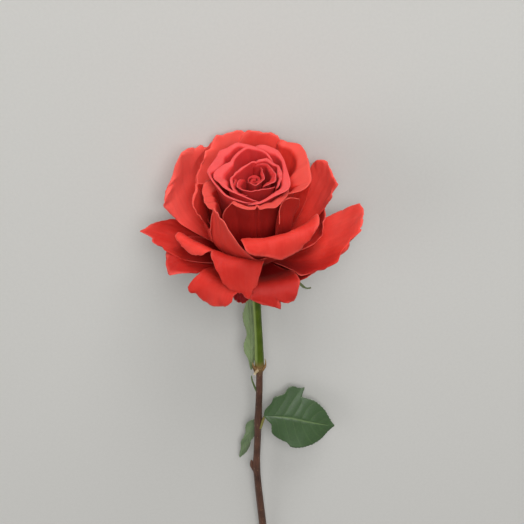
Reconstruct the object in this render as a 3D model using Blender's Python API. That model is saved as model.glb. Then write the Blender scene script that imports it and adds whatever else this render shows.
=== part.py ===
"""Cut red rose lying on its side: an open bloom, its green stalk and sepals, a brown cane and three leaves.

Petal places are worked out in the bloom's own frame, in millimetres: the petals' base is the origin,
the bloom opens towards +Z, azimuth 0 is its front (-Y) and azimuth 90 its right-hand side (+X).
The last step turns that frame so that the flower lies on the floor (Z = 0) with the bloom towards +Y.
"""

import math
from dataclasses import dataclass

import bmesh
import bpy
import numpy as np

MM = 0.001
SEED = 1000

# Driving dimensions, in millimetres
CORE_PETALS = 4
CORE_RADIUS = 1.4
CORE_RIM_RADIUS = 4.2
CORE_HEIGHT = 47.6
GOLDEN_ANGLE = 137.5
BUD_CENTRE = (-0.9, 1.0)
BLADE_THICKNESS = 0.62
RECEPTACLE_BOTTOM = -3.0
NODE_GAP = 0.3
STALK_END = -69.5
CANE_TOP_RADIUS = 1.7
CANE_END_RADIUS = 2.15
CANE_END = -212.0
STEM_LEAN = 0.1737
LEAF_THICKNESS = 0.7
FLOOR_BACK = 25.0
FLOOR_SLOPE = 0.281
FLOOR_SOFTNESS = 3.0

# Heights in the bloom's frame with the radius there
RECEPTACLE_PROFILE = (
    (RECEPTACLE_BOTTOM, 5.0), (1.0, 6.4), (5.0, 6.6), (9.0, 5.0), (16.0, 3.0), (30.0, 2.4), (41.0, 1.2))
STALK_PROFILE = (
    (-5.0, 5.6), (-8.0, 5.4), (-12.0, 4.0), (-17.0, 2.7), (-26.0, 2.1), (-40.0, 2.05), (-55.0, 2.2),
    (-64.0, 2.4), (STALK_END, 2.5))
# Swollen joints of the cane: height, added radius and reach
CANE_JOINTS = ((STALK_END, 0.75, 3.0), (-108.0, 0.35, 5.0), (-141.0, 0.3, 4.0))
# Growths on the cane: radii, and places as height, sideways and front distances from its line
CANE_GROWTHS = (
    ("side_bud", (0.9, 1.1, 0.5), ((-145.0, -1.2), (-140.5, -2.5), (-136.5, -2.8))),
    ("stub", (1.1, 1.2, 0.8), ((-72.0, -0.6, 0.8), (-74.5, -2.0, 1.2), (-76.5, -2.9, 1.2))),
    ("stipule", (0.6, 0.5, 0.4, 0.35), ((-87.0, -1.2), (-83.5, -2.6), (-79.0, -3.9), (-76.0, -4.2))),
)
# Sepals: azimuth, path as radius and height, and width
SEPALS = (
    (72, ((4, -6), (10, -6), (17, -9), (23, -14), (26, -16)), 6.5),
    (-22, ((4, -6), (10, -7), (14, -10), (17, -16), (18, -23)), 7.0),
    (-100, ((4, -6), (10, -6.5), (16, -9), (20, -15), (21, -22)), 6.5),
    (-165, ((4, -6), (9, -7), (12, -11), (13, -18), (13, -24)), 6.0),
    (138, ((4, -6), (9, -7), (12, -10), (14, -16), (14, -22)), 6.0),
)

ACROSS_POINTS = 6
BUD_STATIONS = 4
OPEN_STATIONS = 6
STATIONS = 300
REACH = 1.25
UP = np.array([0.0, 0.0, 1.0])


@dataclass(frozen=True)
class Petal:
    """One petal: where it stands, the path its middle follows (radius, height) and how it curls."""

    name: str
    azimuth: float
    width: float
    path: tuple
    cup: tuple = (1.0, 1.0, 1.0)
    level: float = 0.0
    roll_left: float = 0.0
    roll_right: float = 0.0
    roll_from: float = 0.45
    skew: float = 0.0
    offset: float = 0.0
    shift: tuple = (0.0, 0.0)
    widest: float = 0.6
    claw: float = 0.24
    square: float = 2.6
    ruffle: float = 0.8
    ragged: float = 0.02
    point: tuple = ()
    spiral: float = 0.0
    press: float = 0.4
    seed: int = 0


@dataclass(frozen=True)
class Leaf:
    """One leaf in floor coordinates: base, tip and facing, half widths, bends and its short stalk."""

    name: str
    base: tuple
    tip: tuple
    facing: tuple
    half_left: float
    half_right: float
    fold: float
    droop: float
    wave: float
    teeth: int
    rows: int
    petiole: tuple
    petiole_radii: tuple
    lobe: float = 0.0
    seed: int = 0


def smooth_step(x):
    """Ease from 0 to 1 for values from 0 to 1."""
    x = np.clip(x, 0.0, 1.0)
    return x * x * (3.0 - 2.0 * x)


def bud_path(rim, top, lip):
    """Path of a bud petal: it swells from the root, stands straight at the rim and turns out a lip."""
    return ((1.5, 0.0), (2.0 + 0.45 * rim, 10.0), (1.5 + 0.8 * rim, 25.0), (rim, top - 10.0),
            (rim, top - 3.0), (rim + lip, top))


def bud_petals():
    """Petals of the closed middle: a core turned by the golden angle, then the wraps round it."""
    petals = []
    for index in range(CORE_PETALS):
        share = index / (CORE_PETALS - 1)
        rim = CORE_RADIUS + (CORE_RIM_RADIUS - CORE_RADIUS) * share
        petals.append(Petal(
            f"core_{index}", GOLDEN_ANGLE * index + 70.0, 7.0 + 7.0 * share,
            bud_path(rim, CORE_HEIGHT + share, 0.6), level=1.0, claw=0.4, square=3.0, widest=0.72,
            ruffle=0.3, ragged=0.012, spiral=0.6, shift=BUD_CENTRE, seed=index))
    wraps = (
        ("core_right", 112, 15, 6.3, 48.8, 0.8), ("core_front", 4, 21, 8.6, 49.0, 0.6),
        ("core_left", -72, 17, 9.0, 49.2, 1.2), ("core_back", 140, 24, 10.6, 49.8, 1.2),
        ("wrap_left", -136, 30, 11.6, 50.6, 1.2), ("wrap_right", 104, 36, 13.6, 50.6, 1.4),
        ("wrap_front", -48, 38, 15.8, 49.6, 1.6), ("wrap_back", -158, 42, 18.6, 51.2, 2.2),
        ("wrap_far_right", 120, 46, 17.6, 51.4, 2.6),
    )
    for index, (name, azimuth, width, rim, top, lip) in enumerate(wraps):
        petals.append(Petal(
            name, azimuth, width, bud_path(rim, top, lip), level=1.0, claw=0.35, square=3.4, widest=0.74,
            ruffle=0.4, ragged=0.018, spiral=0.8, shift=BUD_CENTRE, seed=10 + index))
    return petals


def open_petals():
    """Petals that have opened round the bud, from the inner ring to the drooping outer ones."""
    return [
        Petal("front_lip", 14, 41,
              ((4, 0), (12, 8), (16, 22), (16, 38), (14.5, 47), (16, 50), (20, 48.5)),
              level=1, claw=0.3, widest=0.72, square=3.6, ruffle=0.5, skew=-6, seed=31),
        Petal("right_front", 64, 34, ((4, 0), (14, 8), (19, 22), (21, 36), (23, 43)),
              level=0.9, claw=0.3, widest=0.7, square=3, seed=32),
        Petal("left_inner", -84, 30, ((4, 0), (15, 8), (21, 22), (23, 36), (26, 43), (30, 44.5)),
              level=0.9, claw=0.3, widest=0.68, square=3, ruffle=1.2, ragged=0.04, seed=33),
        Petal("left_middle", -106, 36, ((4, 0), (16, 7), (23, 20), (27, 34), (30, 45)),
              level=0.6, claw=0.28, widest=0.66, seed=34),
        Petal("right_lip", 101, 31,
              ((4, 0), (14, 8), (18, 22), (17.5, 38), (17.5, 45.5), (20, 48), (25.5, 46)),
              level=0.8, claw=0.28, widest=0.7, square=3, seed=35),
        Petal("back_left_inner", -142, 40, ((4, 0), (14, 8), (19, 22), (22, 38), (25.5, 50.5)),
              level=0.6, claw=0.28, widest=0.66, square=3, seed=38),
        Petal("front_point", -50, 34, ((4, 0), (15, 7), (22, 18), (24, 30), (24, 44)),
              cup=(1, 0.8, 0.3), roll_left=25, roll_from=0.3, widest=0.42, square=1.05, ragged=0.005,
              seed=37),
        Petal("back_right", 146, 37, ((4, 0), (18, 10), (27, 24), (31, 36), (34.5, 45.5)),
              cup=(1, 0.95, 0.9), level=0.3, claw=0.24, square=3, ragged=0.03, press=2.0, seed=39),
        Petal("back_left", -160, 40, ((4, 0), (18, 10), (27, 24), (32, 38), (35, 52)),
              cup=(1, 0.9, 0.8), level=0.3, claw=0.24, square=3.2, ragged=0.03, press=3.4, seed=40),
        Petal("back", 176, 38, ((4, 0), (18, 10), (27, 24), (32, 37), (35.5, 49.5)),
              cup=(1, 0.9, 0.8), level=0.3, claw=0.24, square=3.2, ragged=0.03, press=2.0, seed=41),
        Petal("right_tall", 117, 31, ((4, 0), (18, 8), (30, 20), (36, 33), (39.5, 44)),
              cup=(1, 0.9, 0.6), level=0.3, skew=-10, widest=0.7, square=3.0, point=((-48, 0.08, 12),),
              roll_right=12, press=2.0, seed=42),
        Petal("left_tall", -121, 42, ((4, 0), (22, 6), (36, 16), (41, 29), (40, 42)),
              cup=(1, 0.7, 0.5), level=0.2, skew=3, widest=0.7, square=4.6, point=((44, 0.14, 12),),
              roll_left=10, roll_right=15, press=2.0, seed=43),
        Petal("right_front_lip", 23, 38,
              ((4, 0), (16, 9), (23, 22), (27, 35), (28.5, 41), (31, 40.5), (34, 31)),
              cup=(1, 0.8, 0.4), skew=-10, seed=44),
        Petal("left_front_lip", -36, 23,
              ((4, 0), (14, 4), (22, 13), (26, 21), (28, 24.5), (30.5, 23.5), (32, 19)),
              cup=(0.8, 0.4, 0.1), square=2.0, offset=-15, seed=45),
        Petal("right_spread", 79, 50, ((4, 0), (20, 4), (34, 10), (43, 18), (50, 26)),
              cup=(1, 0.7, 0.3), claw=0.24, square=2.5, point=((46, 0.13, 12),), seed=46),
        Petal("left_spread", -88, 34, ((4, 0), (20, 3), (33, 8), (43, 13), (53, 17)),
              cup=(1, 0.7, 0.3), claw=0.28, point=((0, 0.1, 14),), square=1.9, ragged=0.03, seed=47),
        Petal("left_low", -71, 31, ((4, 0), (20, 3), (34, 9), (41, 12), (46, 11.5)),
              cup=(1, 0.7, 0.3), square=4.2, seed=48),
        Petal("front_drop", -16, 29, ((4, 0), (15, 7), (23, 17), (27, 25), (30, 24.5), (34, 16), (37, 5)),
              cup=(1, 0.5, 0.2), claw=0.24, square=1.8, skew=12, point=((4, 0.16, 12),), seed=49),
        Petal("left_drop", -33, 31, ((4, -1), (18, 2), (28, 8), (33, 11), (37, 8), (40, 0)),
              cup=(1, 0.5, 0.2), claw=0.28, seed=50),
        Petal("right_drop", 7, 34, ((4, -1), (18, 3), (27, 10), (32, 13.5), (36, 11), (38.5, 4)),
              cup=(1, 0.5, 0.2), claw=0.24, square=3, point=((20, 0.14, 8),), seed=51),
        Petal("behind_left", -154, 34, ((4, -1), (18, 2), (28, 10), (38, 24), (46, 40)),
              cup=(1, 0.7, 0.5), press=0.2, seed=52),
        Petal("behind_right", 160, 28, ((4, -1), (18, 2), (28, 10), (37, 24), (44, 40)),
              cup=(1, 0.7, 0.5), press=0.2, seed=53),
        Petal("behind", 178, 38, ((4, -1), (16, 1), (24, 10), (33, 22), (41, 40)),
              cup=(1, 0.7, 0.5), press=1.3, seed=54),
    ]


def midline(petal, stations=STATIONS):
    """Stations along the petal's path: share of length, radius, height and lean, and the length."""
    points = np.array(petal.path, float)
    legs = np.hypot(*np.diff(points, axis=0).T)
    run = np.concatenate([[0.0], np.cumsum(legs)])
    length = run[-1]
    share = np.linspace(0.0, REACH, stations)
    angle = np.arctan2(np.diff(points[:, 0]), np.diff(points[:, 1]))
    index = np.clip(np.searchsorted(run / length, share, side="right") - 1, 0, len(angle) - 1)
    reach = 26
    kernel = np.hanning(2 * reach + 1)
    lean = np.pad(angle[index], reach, mode="edge")
    lean = np.convolve(lean, kernel / kernel.sum(), "valid")
    step = (share[1] - share[0]) * length
    radius = points[0, 0] + np.append(0.0, np.cumsum((np.sin(lean[1:]) + np.sin(lean[:-1])) * step / 2))
    height = points[0, 1] + np.append(0.0, np.cumsum((np.cos(lean[1:]) + np.cos(lean[:-1])) * step / 2))
    return share, radius, height, lean, length


def flat_outline(petal, u, v, length):
    """Lay a square grid (u -1 to 1, v 0 to 1) over the flat petal: places across and along, in mm."""
    lower = v < 0.5
    rise = np.where(lower, v / 0.5, 1.0)
    crown = np.where(lower, 0.0, (v - 0.5) / 0.5)
    x = u * np.sqrt(1.0 - crown ** 2 / 2.0)
    y = crown * np.sqrt(1.0 - u ** 2 / 2.0)
    across = np.clip(x / np.sqrt(np.maximum(1.0 - y ** 2, 1e-9)), -1.0, 1.0)
    across = np.where(np.abs(u) < 1e-9, 0.0, across)
    share = np.where(lower, petal.widest * rise, petal.widest + (1.0 - petal.widest) * y)
    grow = np.sin(0.5 * math.pi * np.clip(share / petal.widest, 0.0, 1.0))
    top = (1.0 - np.clip(y, 0.0, 1.0) ** petal.square) ** (1.0 / petal.square)
    half = np.where(share < petal.widest, petal.claw + (1.0 - petal.claw) * grow ** 1.3, top)
    random = np.random.default_rng(SEED + petal.seed)
    phase = random.uniform(0.0, 2.0 * math.pi, 6)
    turn = np.arctan2(x, y + 1e-6)
    margin = np.where(lower, np.abs(u) ** 3 * smooth_step(rise), np.maximum(np.abs(u), crown) ** 3)
    knots = np.sort(random.uniform(-1.7, 1.7, 11))
    bites = np.interp(turn, knots, random.uniform(-1.6, 1.6, 11))
    scale = petal.ragged * (bites + 0.25 * np.sin(19 * turn + phase[2]) + 0.2 * np.sin(33 * turn + phase[3]))
    for where, high, wide in petal.point:
        scale = scale + high * np.exp(-np.abs((turn - math.radians(where)) / math.radians(wide)) ** 1.4)
    scale = 1.0 + scale * margin
    edge = np.where(lower, 1.0 + (scale - 1.0) * smooth_step(rise) ** 2, scale)
    beyond = petal.widest + (share - petal.widest) * (1.0 + (scale - 1.0) * 2.0)
    along = np.where(share > petal.widest, beyond, share) * length
    return across * half * petal.width / 2.0 * edge, along, across, turn, margin, phase


def hold_off_floor(points, clearance):
    """Press points that would pass the floor plane back to the stated clearance over it."""
    over = points[..., 1] - (FLOOR_BACK + FLOOR_SLOPE * points[..., 2] - clearance)
    soft = np.where(over > -FLOOR_SOFTNESS, (over + FLOOR_SOFTNESS) ** 2 / (4.0 * FLOOR_SOFTNESS), 0.0)
    points[..., 1] -= np.where(over > FLOOR_SOFTNESS, over, soft)
    return points


def petal_points(petal, u, v):
    """Points, in mm, of the petal's middle surface for arrays u (-1 to 1) and v (0 to 1)."""
    line, radius, height, lean, length = midline(petal)
    a, s, across, turn, margin, phase = flat_outline(petal, u, v, length)
    if petal.skew:
        pivot = length * 0.6
        c, d = math.cos(math.radians(petal.skew)), math.sin(math.radians(petal.skew))
        weight = smooth_step(s / length / 0.6)
        turned_a = a * c + (s - pivot) * d
        turned_s = pivot + (s - pivot) * c - a * d
        a, s = a + (turned_a - a) * weight, s + (turned_s - s) * weight
    t = np.clip(s / length, 0.0, REACH)
    azimuth = math.radians(petal.azimuth)
    out = np.array([math.sin(azimuth), -math.cos(azimuth), 0.0])
    side = np.array([math.cos(azimuth), math.sin(azimuth), 0.0])
    tilt = np.interp(t, line, lean)[..., None]
    normal = (np.cos(tilt) * out - np.sin(tilt) * UP) * (1.0 - petal.level) + out * petal.level
    normal /= np.linalg.norm(normal, axis=-1)[..., None]
    at_radius = np.interp(t, line, radius)
    base = out * at_radius[..., None] + UP * np.interp(t, line, height)[..., None]
    curve = np.interp(t, [0.0, 0.5, 1.0], petal.cup) / np.maximum(at_radius, 1.5)
    roll = np.radians(np.where(a > 0, petal.roll_right, petal.roll_left)) * smooth_step((t - 0.35) / 0.4)
    b = np.zeros_like(a)
    n = np.zeros_like(a)
    steps = 14
    for step in range(steps):
        part = (step + 0.5) / steps
        reach = (np.abs(across) * part - petal.roll_from) / (1.0 - petal.roll_from)
        bend = np.minimum(np.abs(a) * part * curve, 2.9) - roll * smooth_step(reach) ** 1.2
        b += np.cos(bend) * np.abs(a) / steps
        n += np.sin(bend) * np.abs(a) / steps
    b = b * np.sign(a) + petal.offset * smooth_step(t / 0.6)
    wave = 0.6 * np.sin(4 * turn + phase[4]) + 0.4 * np.sin(9 * turn + phase[5])
    wave = wave + 0.25 * np.sin(17 * turn + phase[0])
    ruffle = petal.ruffle * wave * margin ** 1.2 * smooth_step((t - 0.3) / 0.5)
    push = ruffle - n + petal.spiral * across * smooth_step(t / 0.4)
    points = base + side * b[..., None] + normal * push[..., None]
    points[..., 0] += petal.shift[0] * smooth_step(t)
    points[..., 1] += petal.shift[1] * smooth_step(t)
    return hold_off_floor(points, petal.press)


def to_floor(points):
    """Turn points of the bloom's frame into floor coordinates: +Y towards the bloom, Z the height."""
    points = np.asarray(points, float)
    slope = math.atan(FLOOR_SLOPE)
    along = points[..., 1] * math.sin(slope) + points[..., 2] * math.cos(slope)
    high = (FLOOR_BACK - points[..., 1]) * math.cos(slope) + points[..., 2] * math.sin(slope)
    return np.stack([points[..., 0], along, high], -1)


def length_stations(petal, count):
    """Shares of v from root to tip, closer together where the petal's path bends most."""
    line, _, _, lean, _ = midline(petal)
    share = np.linspace(0.0, 1.0, 400)
    along = np.where(share < 0.5, petal.widest * share / 0.5,
                     petal.widest + (1.0 - petal.widest) * (share - 0.5) / 0.5)
    bend = np.abs(np.gradient(np.interp(along, line, lean), share))
    weight = 1.0 + 0.5 * bend
    total = np.append(0.0, np.cumsum((weight[1:] + weight[:-1]) / 2.0))
    stations = np.interp(np.linspace(0.0, total[-1], count + 1), total, share)
    return stations


def blade_mesh(name, grid, thickness):
    """Closed blade from a grid of middle points: both faces split into like triangles, and a rim."""
    rows, columns = grid.shape[:2]
    along = np.gradient(grid, axis=0)
    across = np.gradient(grid, axis=1)
    normal = np.cross(across, along)
    normal /= np.maximum(np.linalg.norm(normal, axis=-1), 1e-9)[..., None]
    front = grid + normal * thickness / 2.0
    back = grid - normal * thickness / 2.0
    points = np.concatenate([front.reshape(-1, 3), back.reshape(-1, 3)])
    points[:, 2] = np.maximum(points[:, 2], 0.0)
    count = rows * columns
    faces = []
    for row in range(rows - 1):
        for column in range(columns - 1):
            corner = row * columns + column
            quad = (corner, corner + 1, corner + columns + 1, corner + columns)
            for a, b, c in ((0, 1, 2), (0, 2, 3)):
                faces.append((quad[a], quad[b], quad[c]))
                faces.append((quad[a] + count, quad[c] + count, quad[b] + count))
    edge = list(range(columns))
    edge += [row * columns + columns - 1 for row in range(1, rows)]
    edge += [(rows - 1) * columns + column for column in range(columns - 2, -1, -1)]
    edge += [row * columns for row in range(rows - 2, 0, -1)]
    for here, after in zip(edge, edge[1:] + edge[:1]):
        faces.append((after, here, here + count))
        faces.append((after, here + count, after + count))
    mesh = bpy.data.meshes.new(name)
    mesh.from_pydata([tuple(point * MM) for point in points], [], faces)
    return mesh


def tube_mesh(name, centres, radii, sides):
    """Closed tube along centre points with flat ends, as a mesh in metres."""
    centres = np.asarray(centres, float)
    across = np.array([1.0, 0.0, 0.0])
    points = []
    for index, centre in enumerate(centres):
        before = centres[max(index - 1, 0)]
        after = centres[min(index + 1, len(centres) - 1)]
        tangent = (after - before) / np.linalg.norm(after - before)
        first = across - tangent * np.dot(across, tangent)
        first /= np.linalg.norm(first)
        second = np.cross(tangent, first)
        for side in range(sides):
            angle = 2.0 * math.pi * side / sides
            points.append(centre + radii[index] * (math.cos(angle) * first + math.sin(angle) * second))
    faces = []
    for index in range(len(centres) - 1):
        for side in range(sides):
            after = (side + 1) % sides
            low, high = index * sides, (index + 1) * sides
            faces.append((low + side, low + after, high + after, high + side))
    faces.append(tuple(range(sides - 1, -1, -1)))
    faces.append(tuple(range((len(centres) - 1) * sides, len(centres) * sides)))
    mesh = bpy.data.meshes.new(name)
    mesh.from_pydata([tuple(point * MM) for point in points], [], faces)
    return mesh


def fused(name, meshes, collection, material):
    """One closed body from overlapping closed meshes; loose scraps and sealed hollows are dropped."""
    first = bpy.data.objects.new(name, meshes[0])
    collection.objects.link(first)
    if len(meshes) > 1:
        others = bpy.data.collections.new(name + "_parts")
        bpy.context.scene.collection.children.link(others)
        for mesh in meshes[1:]:
            others.objects.link(bpy.data.objects.new(mesh.name, mesh))
        union = first.modifiers.new("union", "BOOLEAN")
        union.operation = "UNION"
        union.operand_type = "COLLECTION"
        union.collection = others
        union.solver = "MANIFOLD"
        graph = bpy.context.evaluated_depsgraph_get()
        result = bpy.data.meshes.new_from_object(first.evaluated_get(graph))
        first.modifiers.clear()
        first.data = result
        result.name = name
        for item in list(others.objects):
            bpy.data.objects.remove(item)
        bpy.data.collections.remove(others)
    keep_outer_body(first.data)
    first.data.materials.clear()
    first.data.materials.append(material)
    return first


def keep_outer_body(mesh):
    """Keep the largest closed shell of a mesh, cleaned of needle edges, with its faces outwards."""
    work = bmesh.new()
    work.from_mesh(mesh)
    bmesh.ops.triangulate(work, faces=work.faces)
    unseen = set(work.faces)
    shells = []
    while unseen:
        stack = [unseen.pop()]
        shell = list(stack)
        while stack:
            for edge in stack.pop().edges:
                for face in edge.link_faces:
                    if face in unseen:
                        unseen.remove(face)
                        shell.append(face)
                        stack.append(face)
        shells.append(shell)
    shells.sort(key=len, reverse=True)
    spare = [face for shell in shells[1:] for face in shell]
    bmesh.ops.delete(work, geom=spare, context="FACES")
    loose = [vertex for vertex in work.verts if not vertex.link_faces]
    bmesh.ops.delete(work, geom=loose, context="VERTS")
    bmesh.ops.recalc_face_normals(work, faces=work.faces)
    if work.calc_volume(signed=True) < 0.0:
        bmesh.ops.reverse_faces(work, faces=work.faces)
    work.to_mesh(mesh)
    work.free()


def finish(name, colour, roughness):
    """Plain material with one colour, named for the part that wears it."""
    material = bpy.data.materials.new(name)
    material.use_nodes = True
    shader = material.node_tree.nodes["Principled BSDF"]
    shader.inputs["Base Color"].default_value = (*colour, 1.0)
    shader.inputs["Roughness"].default_value = roughness
    return material


def stem_point(height, sideways=0.0, front=0.0):
    """Place on the stem's line at a height (negative below the bloom) in the bloom's frame."""
    knots = (-212.0, -187.0, -160.0, -141.0, -122.0, -101.0, -86.0, -70.0, -52.0, -27.0, -3.0)
    drift = (4.8, 2.9, 0.6, -0.7, 0.0, 0.6, 1.0, 1.2, 1.4, 1.4, 0.0)
    return np.array([np.interp(height, knots, drift) + sideways, STEM_LEAN * height - front, height])


def bloom_meshes():
    """Every petal and the receptacle that holds them, as closed meshes on the floor."""
    meshes = []
    for petal in bud_petals() + open_petals():
        bud = petal.shift == BUD_CENTRE
        u = np.linspace(-1.0, 1.0, ACROSS_POINTS)
        v = length_stations(petal, BUD_STATIONS if bud else OPEN_STATIONS)
        uu, vv = np.meshgrid(u, v)
        points = to_floor(petal_points(petal, uu.ravel(), vv.ravel())).reshape(len(v), len(u), 3)
        meshes.append(blade_mesh(petal.name, points, BLADE_THICKNESS))
    centres = [to_floor((0.0, 0.0, height)) for height, _ in RECEPTACLE_PROFILE]
    meshes.append(tube_mesh("receptacle", centres, [radius for _, radius in RECEPTACLE_PROFILE], 12))
    return meshes


def sepal_mesh(azimuth, path, width, seed):
    """Narrow pointed sepal that leaves the hip's rim and turns down."""
    sepal = Petal("sepal", azimuth, width, path, cup=(1.0, 0.6, 0.4), claw=0.8, widest=0.3, square=1.1,
                  ruffle=0.3, ragged=0.0, press=1.0, seed=seed)
    u, v = np.meshgrid(np.linspace(-1.0, 1.0, 3), np.linspace(0.0, 1.0, 8))
    points = to_floor(petal_points(sepal, u.ravel(), v.ravel())).reshape(8, 3, 3)
    return blade_mesh(f"sepal_{seed}", points, 0.8)


def stalk_meshes():
    """Green stalk with the hip under the bloom and five sepals."""
    top = RECEPTACLE_BOTTOM - NODE_GAP
    profile = ((top, 5.0),) + STALK_PROFILE
    centres = []
    for height, _ in profile:
        weight = smooth_step((-height - 3.0) / 20.0)
        straight = np.array([0.0, 0.0, height])
        centres.append(to_floor(straight + (stem_point(height) - straight) * weight))
    meshes = [tube_mesh("stalk", centres[::-1], [radius for _, radius in profile][::-1], 14)]
    for index, (azimuth, path, width) in enumerate(SEPALS):
        meshes.append(sepal_mesh(azimuth, path, width, 60 + index))
    return meshes


def cane_meshes():
    """Brown cane with its swollen joints, a side bud, a dry stub and a thin stipule."""
    heights = np.concatenate([[STALK_END - NODE_GAP], np.linspace(-73.0, -208.0, 28), [CANE_END]])
    radii = []
    for height in heights:
        share = (height - STALK_END) / (CANE_END - STALK_END)
        radius = CANE_TOP_RADIUS + (CANE_END_RADIUS - CANE_TOP_RADIUS) * share
        for joint, swell, reach in CANE_JOINTS:
            radius += swell * math.exp(-((height - joint) / reach) ** 2)
        radii.append(radius)
    centres = [to_floor(stem_point(height)) for height in heights]
    meshes = [tube_mesh("cane", centres[::-1], radii[::-1], 12)]
    for name, radii, route in CANE_GROWTHS:
        centres = [to_floor(stem_point(*place)) for place in route]
        meshes.append(tube_mesh(name, centres, radii, 8))
    return meshes


def leaf_points(leaf, u, v):
    """Points, in mm on the floor frame, of a leaf's middle surface; u across, v from base to tip."""
    base, tip = np.array(leaf.base, float), np.array(leaf.tip, float)
    length = np.linalg.norm(tip - base)
    along = (tip - base) / length
    facing = np.array(leaf.facing, float)
    facing -= along * np.dot(facing, along)
    facing /= np.linalg.norm(facing)
    side = np.cross(along, facing)
    outline = np.sin(math.pi * np.clip(v, 0.0, 1.0) ** 0.82) ** 0.72
    half = np.where(u > 0.0, leaf.half_right, leaf.half_left)
    saw = (v * leaf.teeth) % 1.0
    lobe = np.where(u < 0.0, leaf.lobe * np.exp(-((v - 0.4) / 0.07) ** 2), 0.0)
    reach = np.abs(u) * (half * outline * (1.0 + 0.05 * (saw - 0.5)) + lobe)
    forward = v * length + lobe * 0.9 * np.abs(u) ** 3
    bend = -leaf.fold * reach - leaf.droop * 4.0 * v * (v - 1.0) * length
    bend = bend + leaf.wave * np.abs(u) ** 2 * np.sin(2.0 * math.pi * (1.7 * v + 0.13 * leaf.seed) + u)
    across = np.sign(u) * reach
    return (base + along * forward[..., None] + side * across[..., None] + facing * bend[..., None])


def leaf_meshes(leaf):
    """Closed blade of one leaf, with its toothed edge, and the tube of its stalk."""
    u, v = np.meshgrid(np.linspace(-1.0, 1.0, 5), np.linspace(0.015, 0.985, leaf.rows))
    points = leaf_points(leaf, u.ravel(), v.ravel()).reshape(leaf.rows, 5, 3)
    blade = blade_mesh(leaf.name, points, LEAF_THICKNESS)
    return [blade, tube_mesh("petiole", leaf.petiole, leaf.petiole_radii, 8)]


def leaves():
    """The three leaves: one spread to the right, one hanging at the left and one beside the stalk."""
    return (
        Leaf("leaf_right", (4.4, -102.6, 13.6), (41.8, -114.9, 9.0), (0.0, 0.35, 1.0), 16.5, 13.5,
             fold=0.05, droop=0.05, wave=1.0, teeth=17, rows=35, lobe=6.0, seed=1,
             petiole=((3.0, -117.5, 13.0), (4.2, -112.0, 13.5), (4.4, -106.0, 13.9),
                      (5.4, -102.9, 13.9), (7.0, -102.8, 13.8)),
             petiole_radii=(0.9, 0.85, 0.8, 0.8, 0.5)),
        Leaf("leaf_left", (-2.6, -105.0, 10.4), (-10.4, -138.9, 4.4), (0.25, 0.45, 1.0), 5.5, 5.0,
             fold=0.15, droop=-0.02, wave=1.2, teeth=13, rows=27, seed=2,
             petiole=((-1.55, -102.5, 11.9), (-2.1, -104.0, 11.0), (-2.8, -106.5, 10.2)),
             petiole_radii=(0.5, 0.5, 0.45)),
        Leaf("leaf_upper", (-2.8, -72.0, 14.4), (-2.6, -32.0, 11.5), (0.1, 0.2, 1.0), 6.2, 5.5,
             fold=-0.1, droop=0.02, wave=1.0, teeth=17, rows=27, seed=3,
             petiole=((-0.6, -77.0, 14.6), (-1.6, -74.5, 14.5), (-2.8, -71.0, 14.35)),
             petiole_radii=(0.5, 0.5, 0.45)),
    )


def main():
    """Build the whole flower and centre it over the floor's origin."""
    for item in list(bpy.data.objects):
        bpy.data.objects.remove(item)
    collection = bpy.data.collections.new("cut_rose")
    bpy.context.scene.collection.children.link(collection)
    objects = [
        fused("bloom", bloom_meshes(), collection, finish("petal_red", (0.62, 0.05, 0.035), 0.55)),
        fused("stalk", stalk_meshes(), collection, finish("stalk_green", (0.15, 0.24, 0.06), 0.5)),
        fused("cane", cane_meshes(), collection, finish("cane_brown", (0.075, 0.03, 0.02), 0.6)),
    ]
    greens = ((0.07, 0.16, 0.05), (0.09, 0.18, 0.07), (0.2, 0.29, 0.12))
    for leaf, green in zip(leaves(), greens):
        material = finish(f"{leaf.name}_green", green, 0.55)
        objects.append(fused(leaf.name, leaf_meshes(leaf), collection, material))
    corners = np.array([tuple(vertex.co) for item in objects for vertex in item.data.vertices])
    low, high = corners.min(0), corners.max(0)
    shift = -np.array([(low[0] + high[0]) / 2.0, (low[1] + high[1]) / 2.0, low[2]])
    for item in objects:
        for vertex in item.data.vertices:
            vertex.co = np.array(vertex.co) + shift


main()
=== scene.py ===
"""Cut red rose lying on its side: the finish of every surface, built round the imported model.

Growing parts are worked out in millimetres in the bloom's own frame: the petals' base is the origin,
the bloom opens towards +Z, azimuth 0 is its front (-Y) and azimuth 90 its right-hand side (+X).
to_floor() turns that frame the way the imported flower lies, with the bloom towards +Y.
"""

import logging
import math
from dataclasses import dataclass
from enum import Enum
from typing import Any, Callable, Sequence

import bmesh
import bpy
import numpy as np
from mathutils import Matrix, Vector


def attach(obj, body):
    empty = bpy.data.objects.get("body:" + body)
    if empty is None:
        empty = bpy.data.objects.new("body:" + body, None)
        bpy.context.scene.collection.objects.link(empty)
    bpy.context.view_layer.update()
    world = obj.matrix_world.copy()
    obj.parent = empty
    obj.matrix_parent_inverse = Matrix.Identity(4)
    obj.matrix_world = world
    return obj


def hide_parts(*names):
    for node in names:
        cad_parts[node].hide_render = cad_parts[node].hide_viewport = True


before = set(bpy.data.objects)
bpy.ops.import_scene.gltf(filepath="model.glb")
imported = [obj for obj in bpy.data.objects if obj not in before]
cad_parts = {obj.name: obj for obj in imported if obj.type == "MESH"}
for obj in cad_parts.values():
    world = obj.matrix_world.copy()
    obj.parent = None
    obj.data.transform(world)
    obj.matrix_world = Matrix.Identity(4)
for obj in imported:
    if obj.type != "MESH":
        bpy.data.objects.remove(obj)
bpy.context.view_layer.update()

MM = 0.001
SEED = 1000
BODY = "root"
UP = np.array([0.0, 0.0, 1.0])

# The flower lies on a plane behind the bloom: how far back it is, and how it slopes with height
FLOOR_BACK = 25.0
FLOOR_SLOPE = 0.281
FLOOR_SOFTNESS = 3.0
# From the bloom's frame, once turned and lifted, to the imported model's
ROW_SHIFT = np.array([-0.0188, 77.1842, 0.0])

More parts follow.
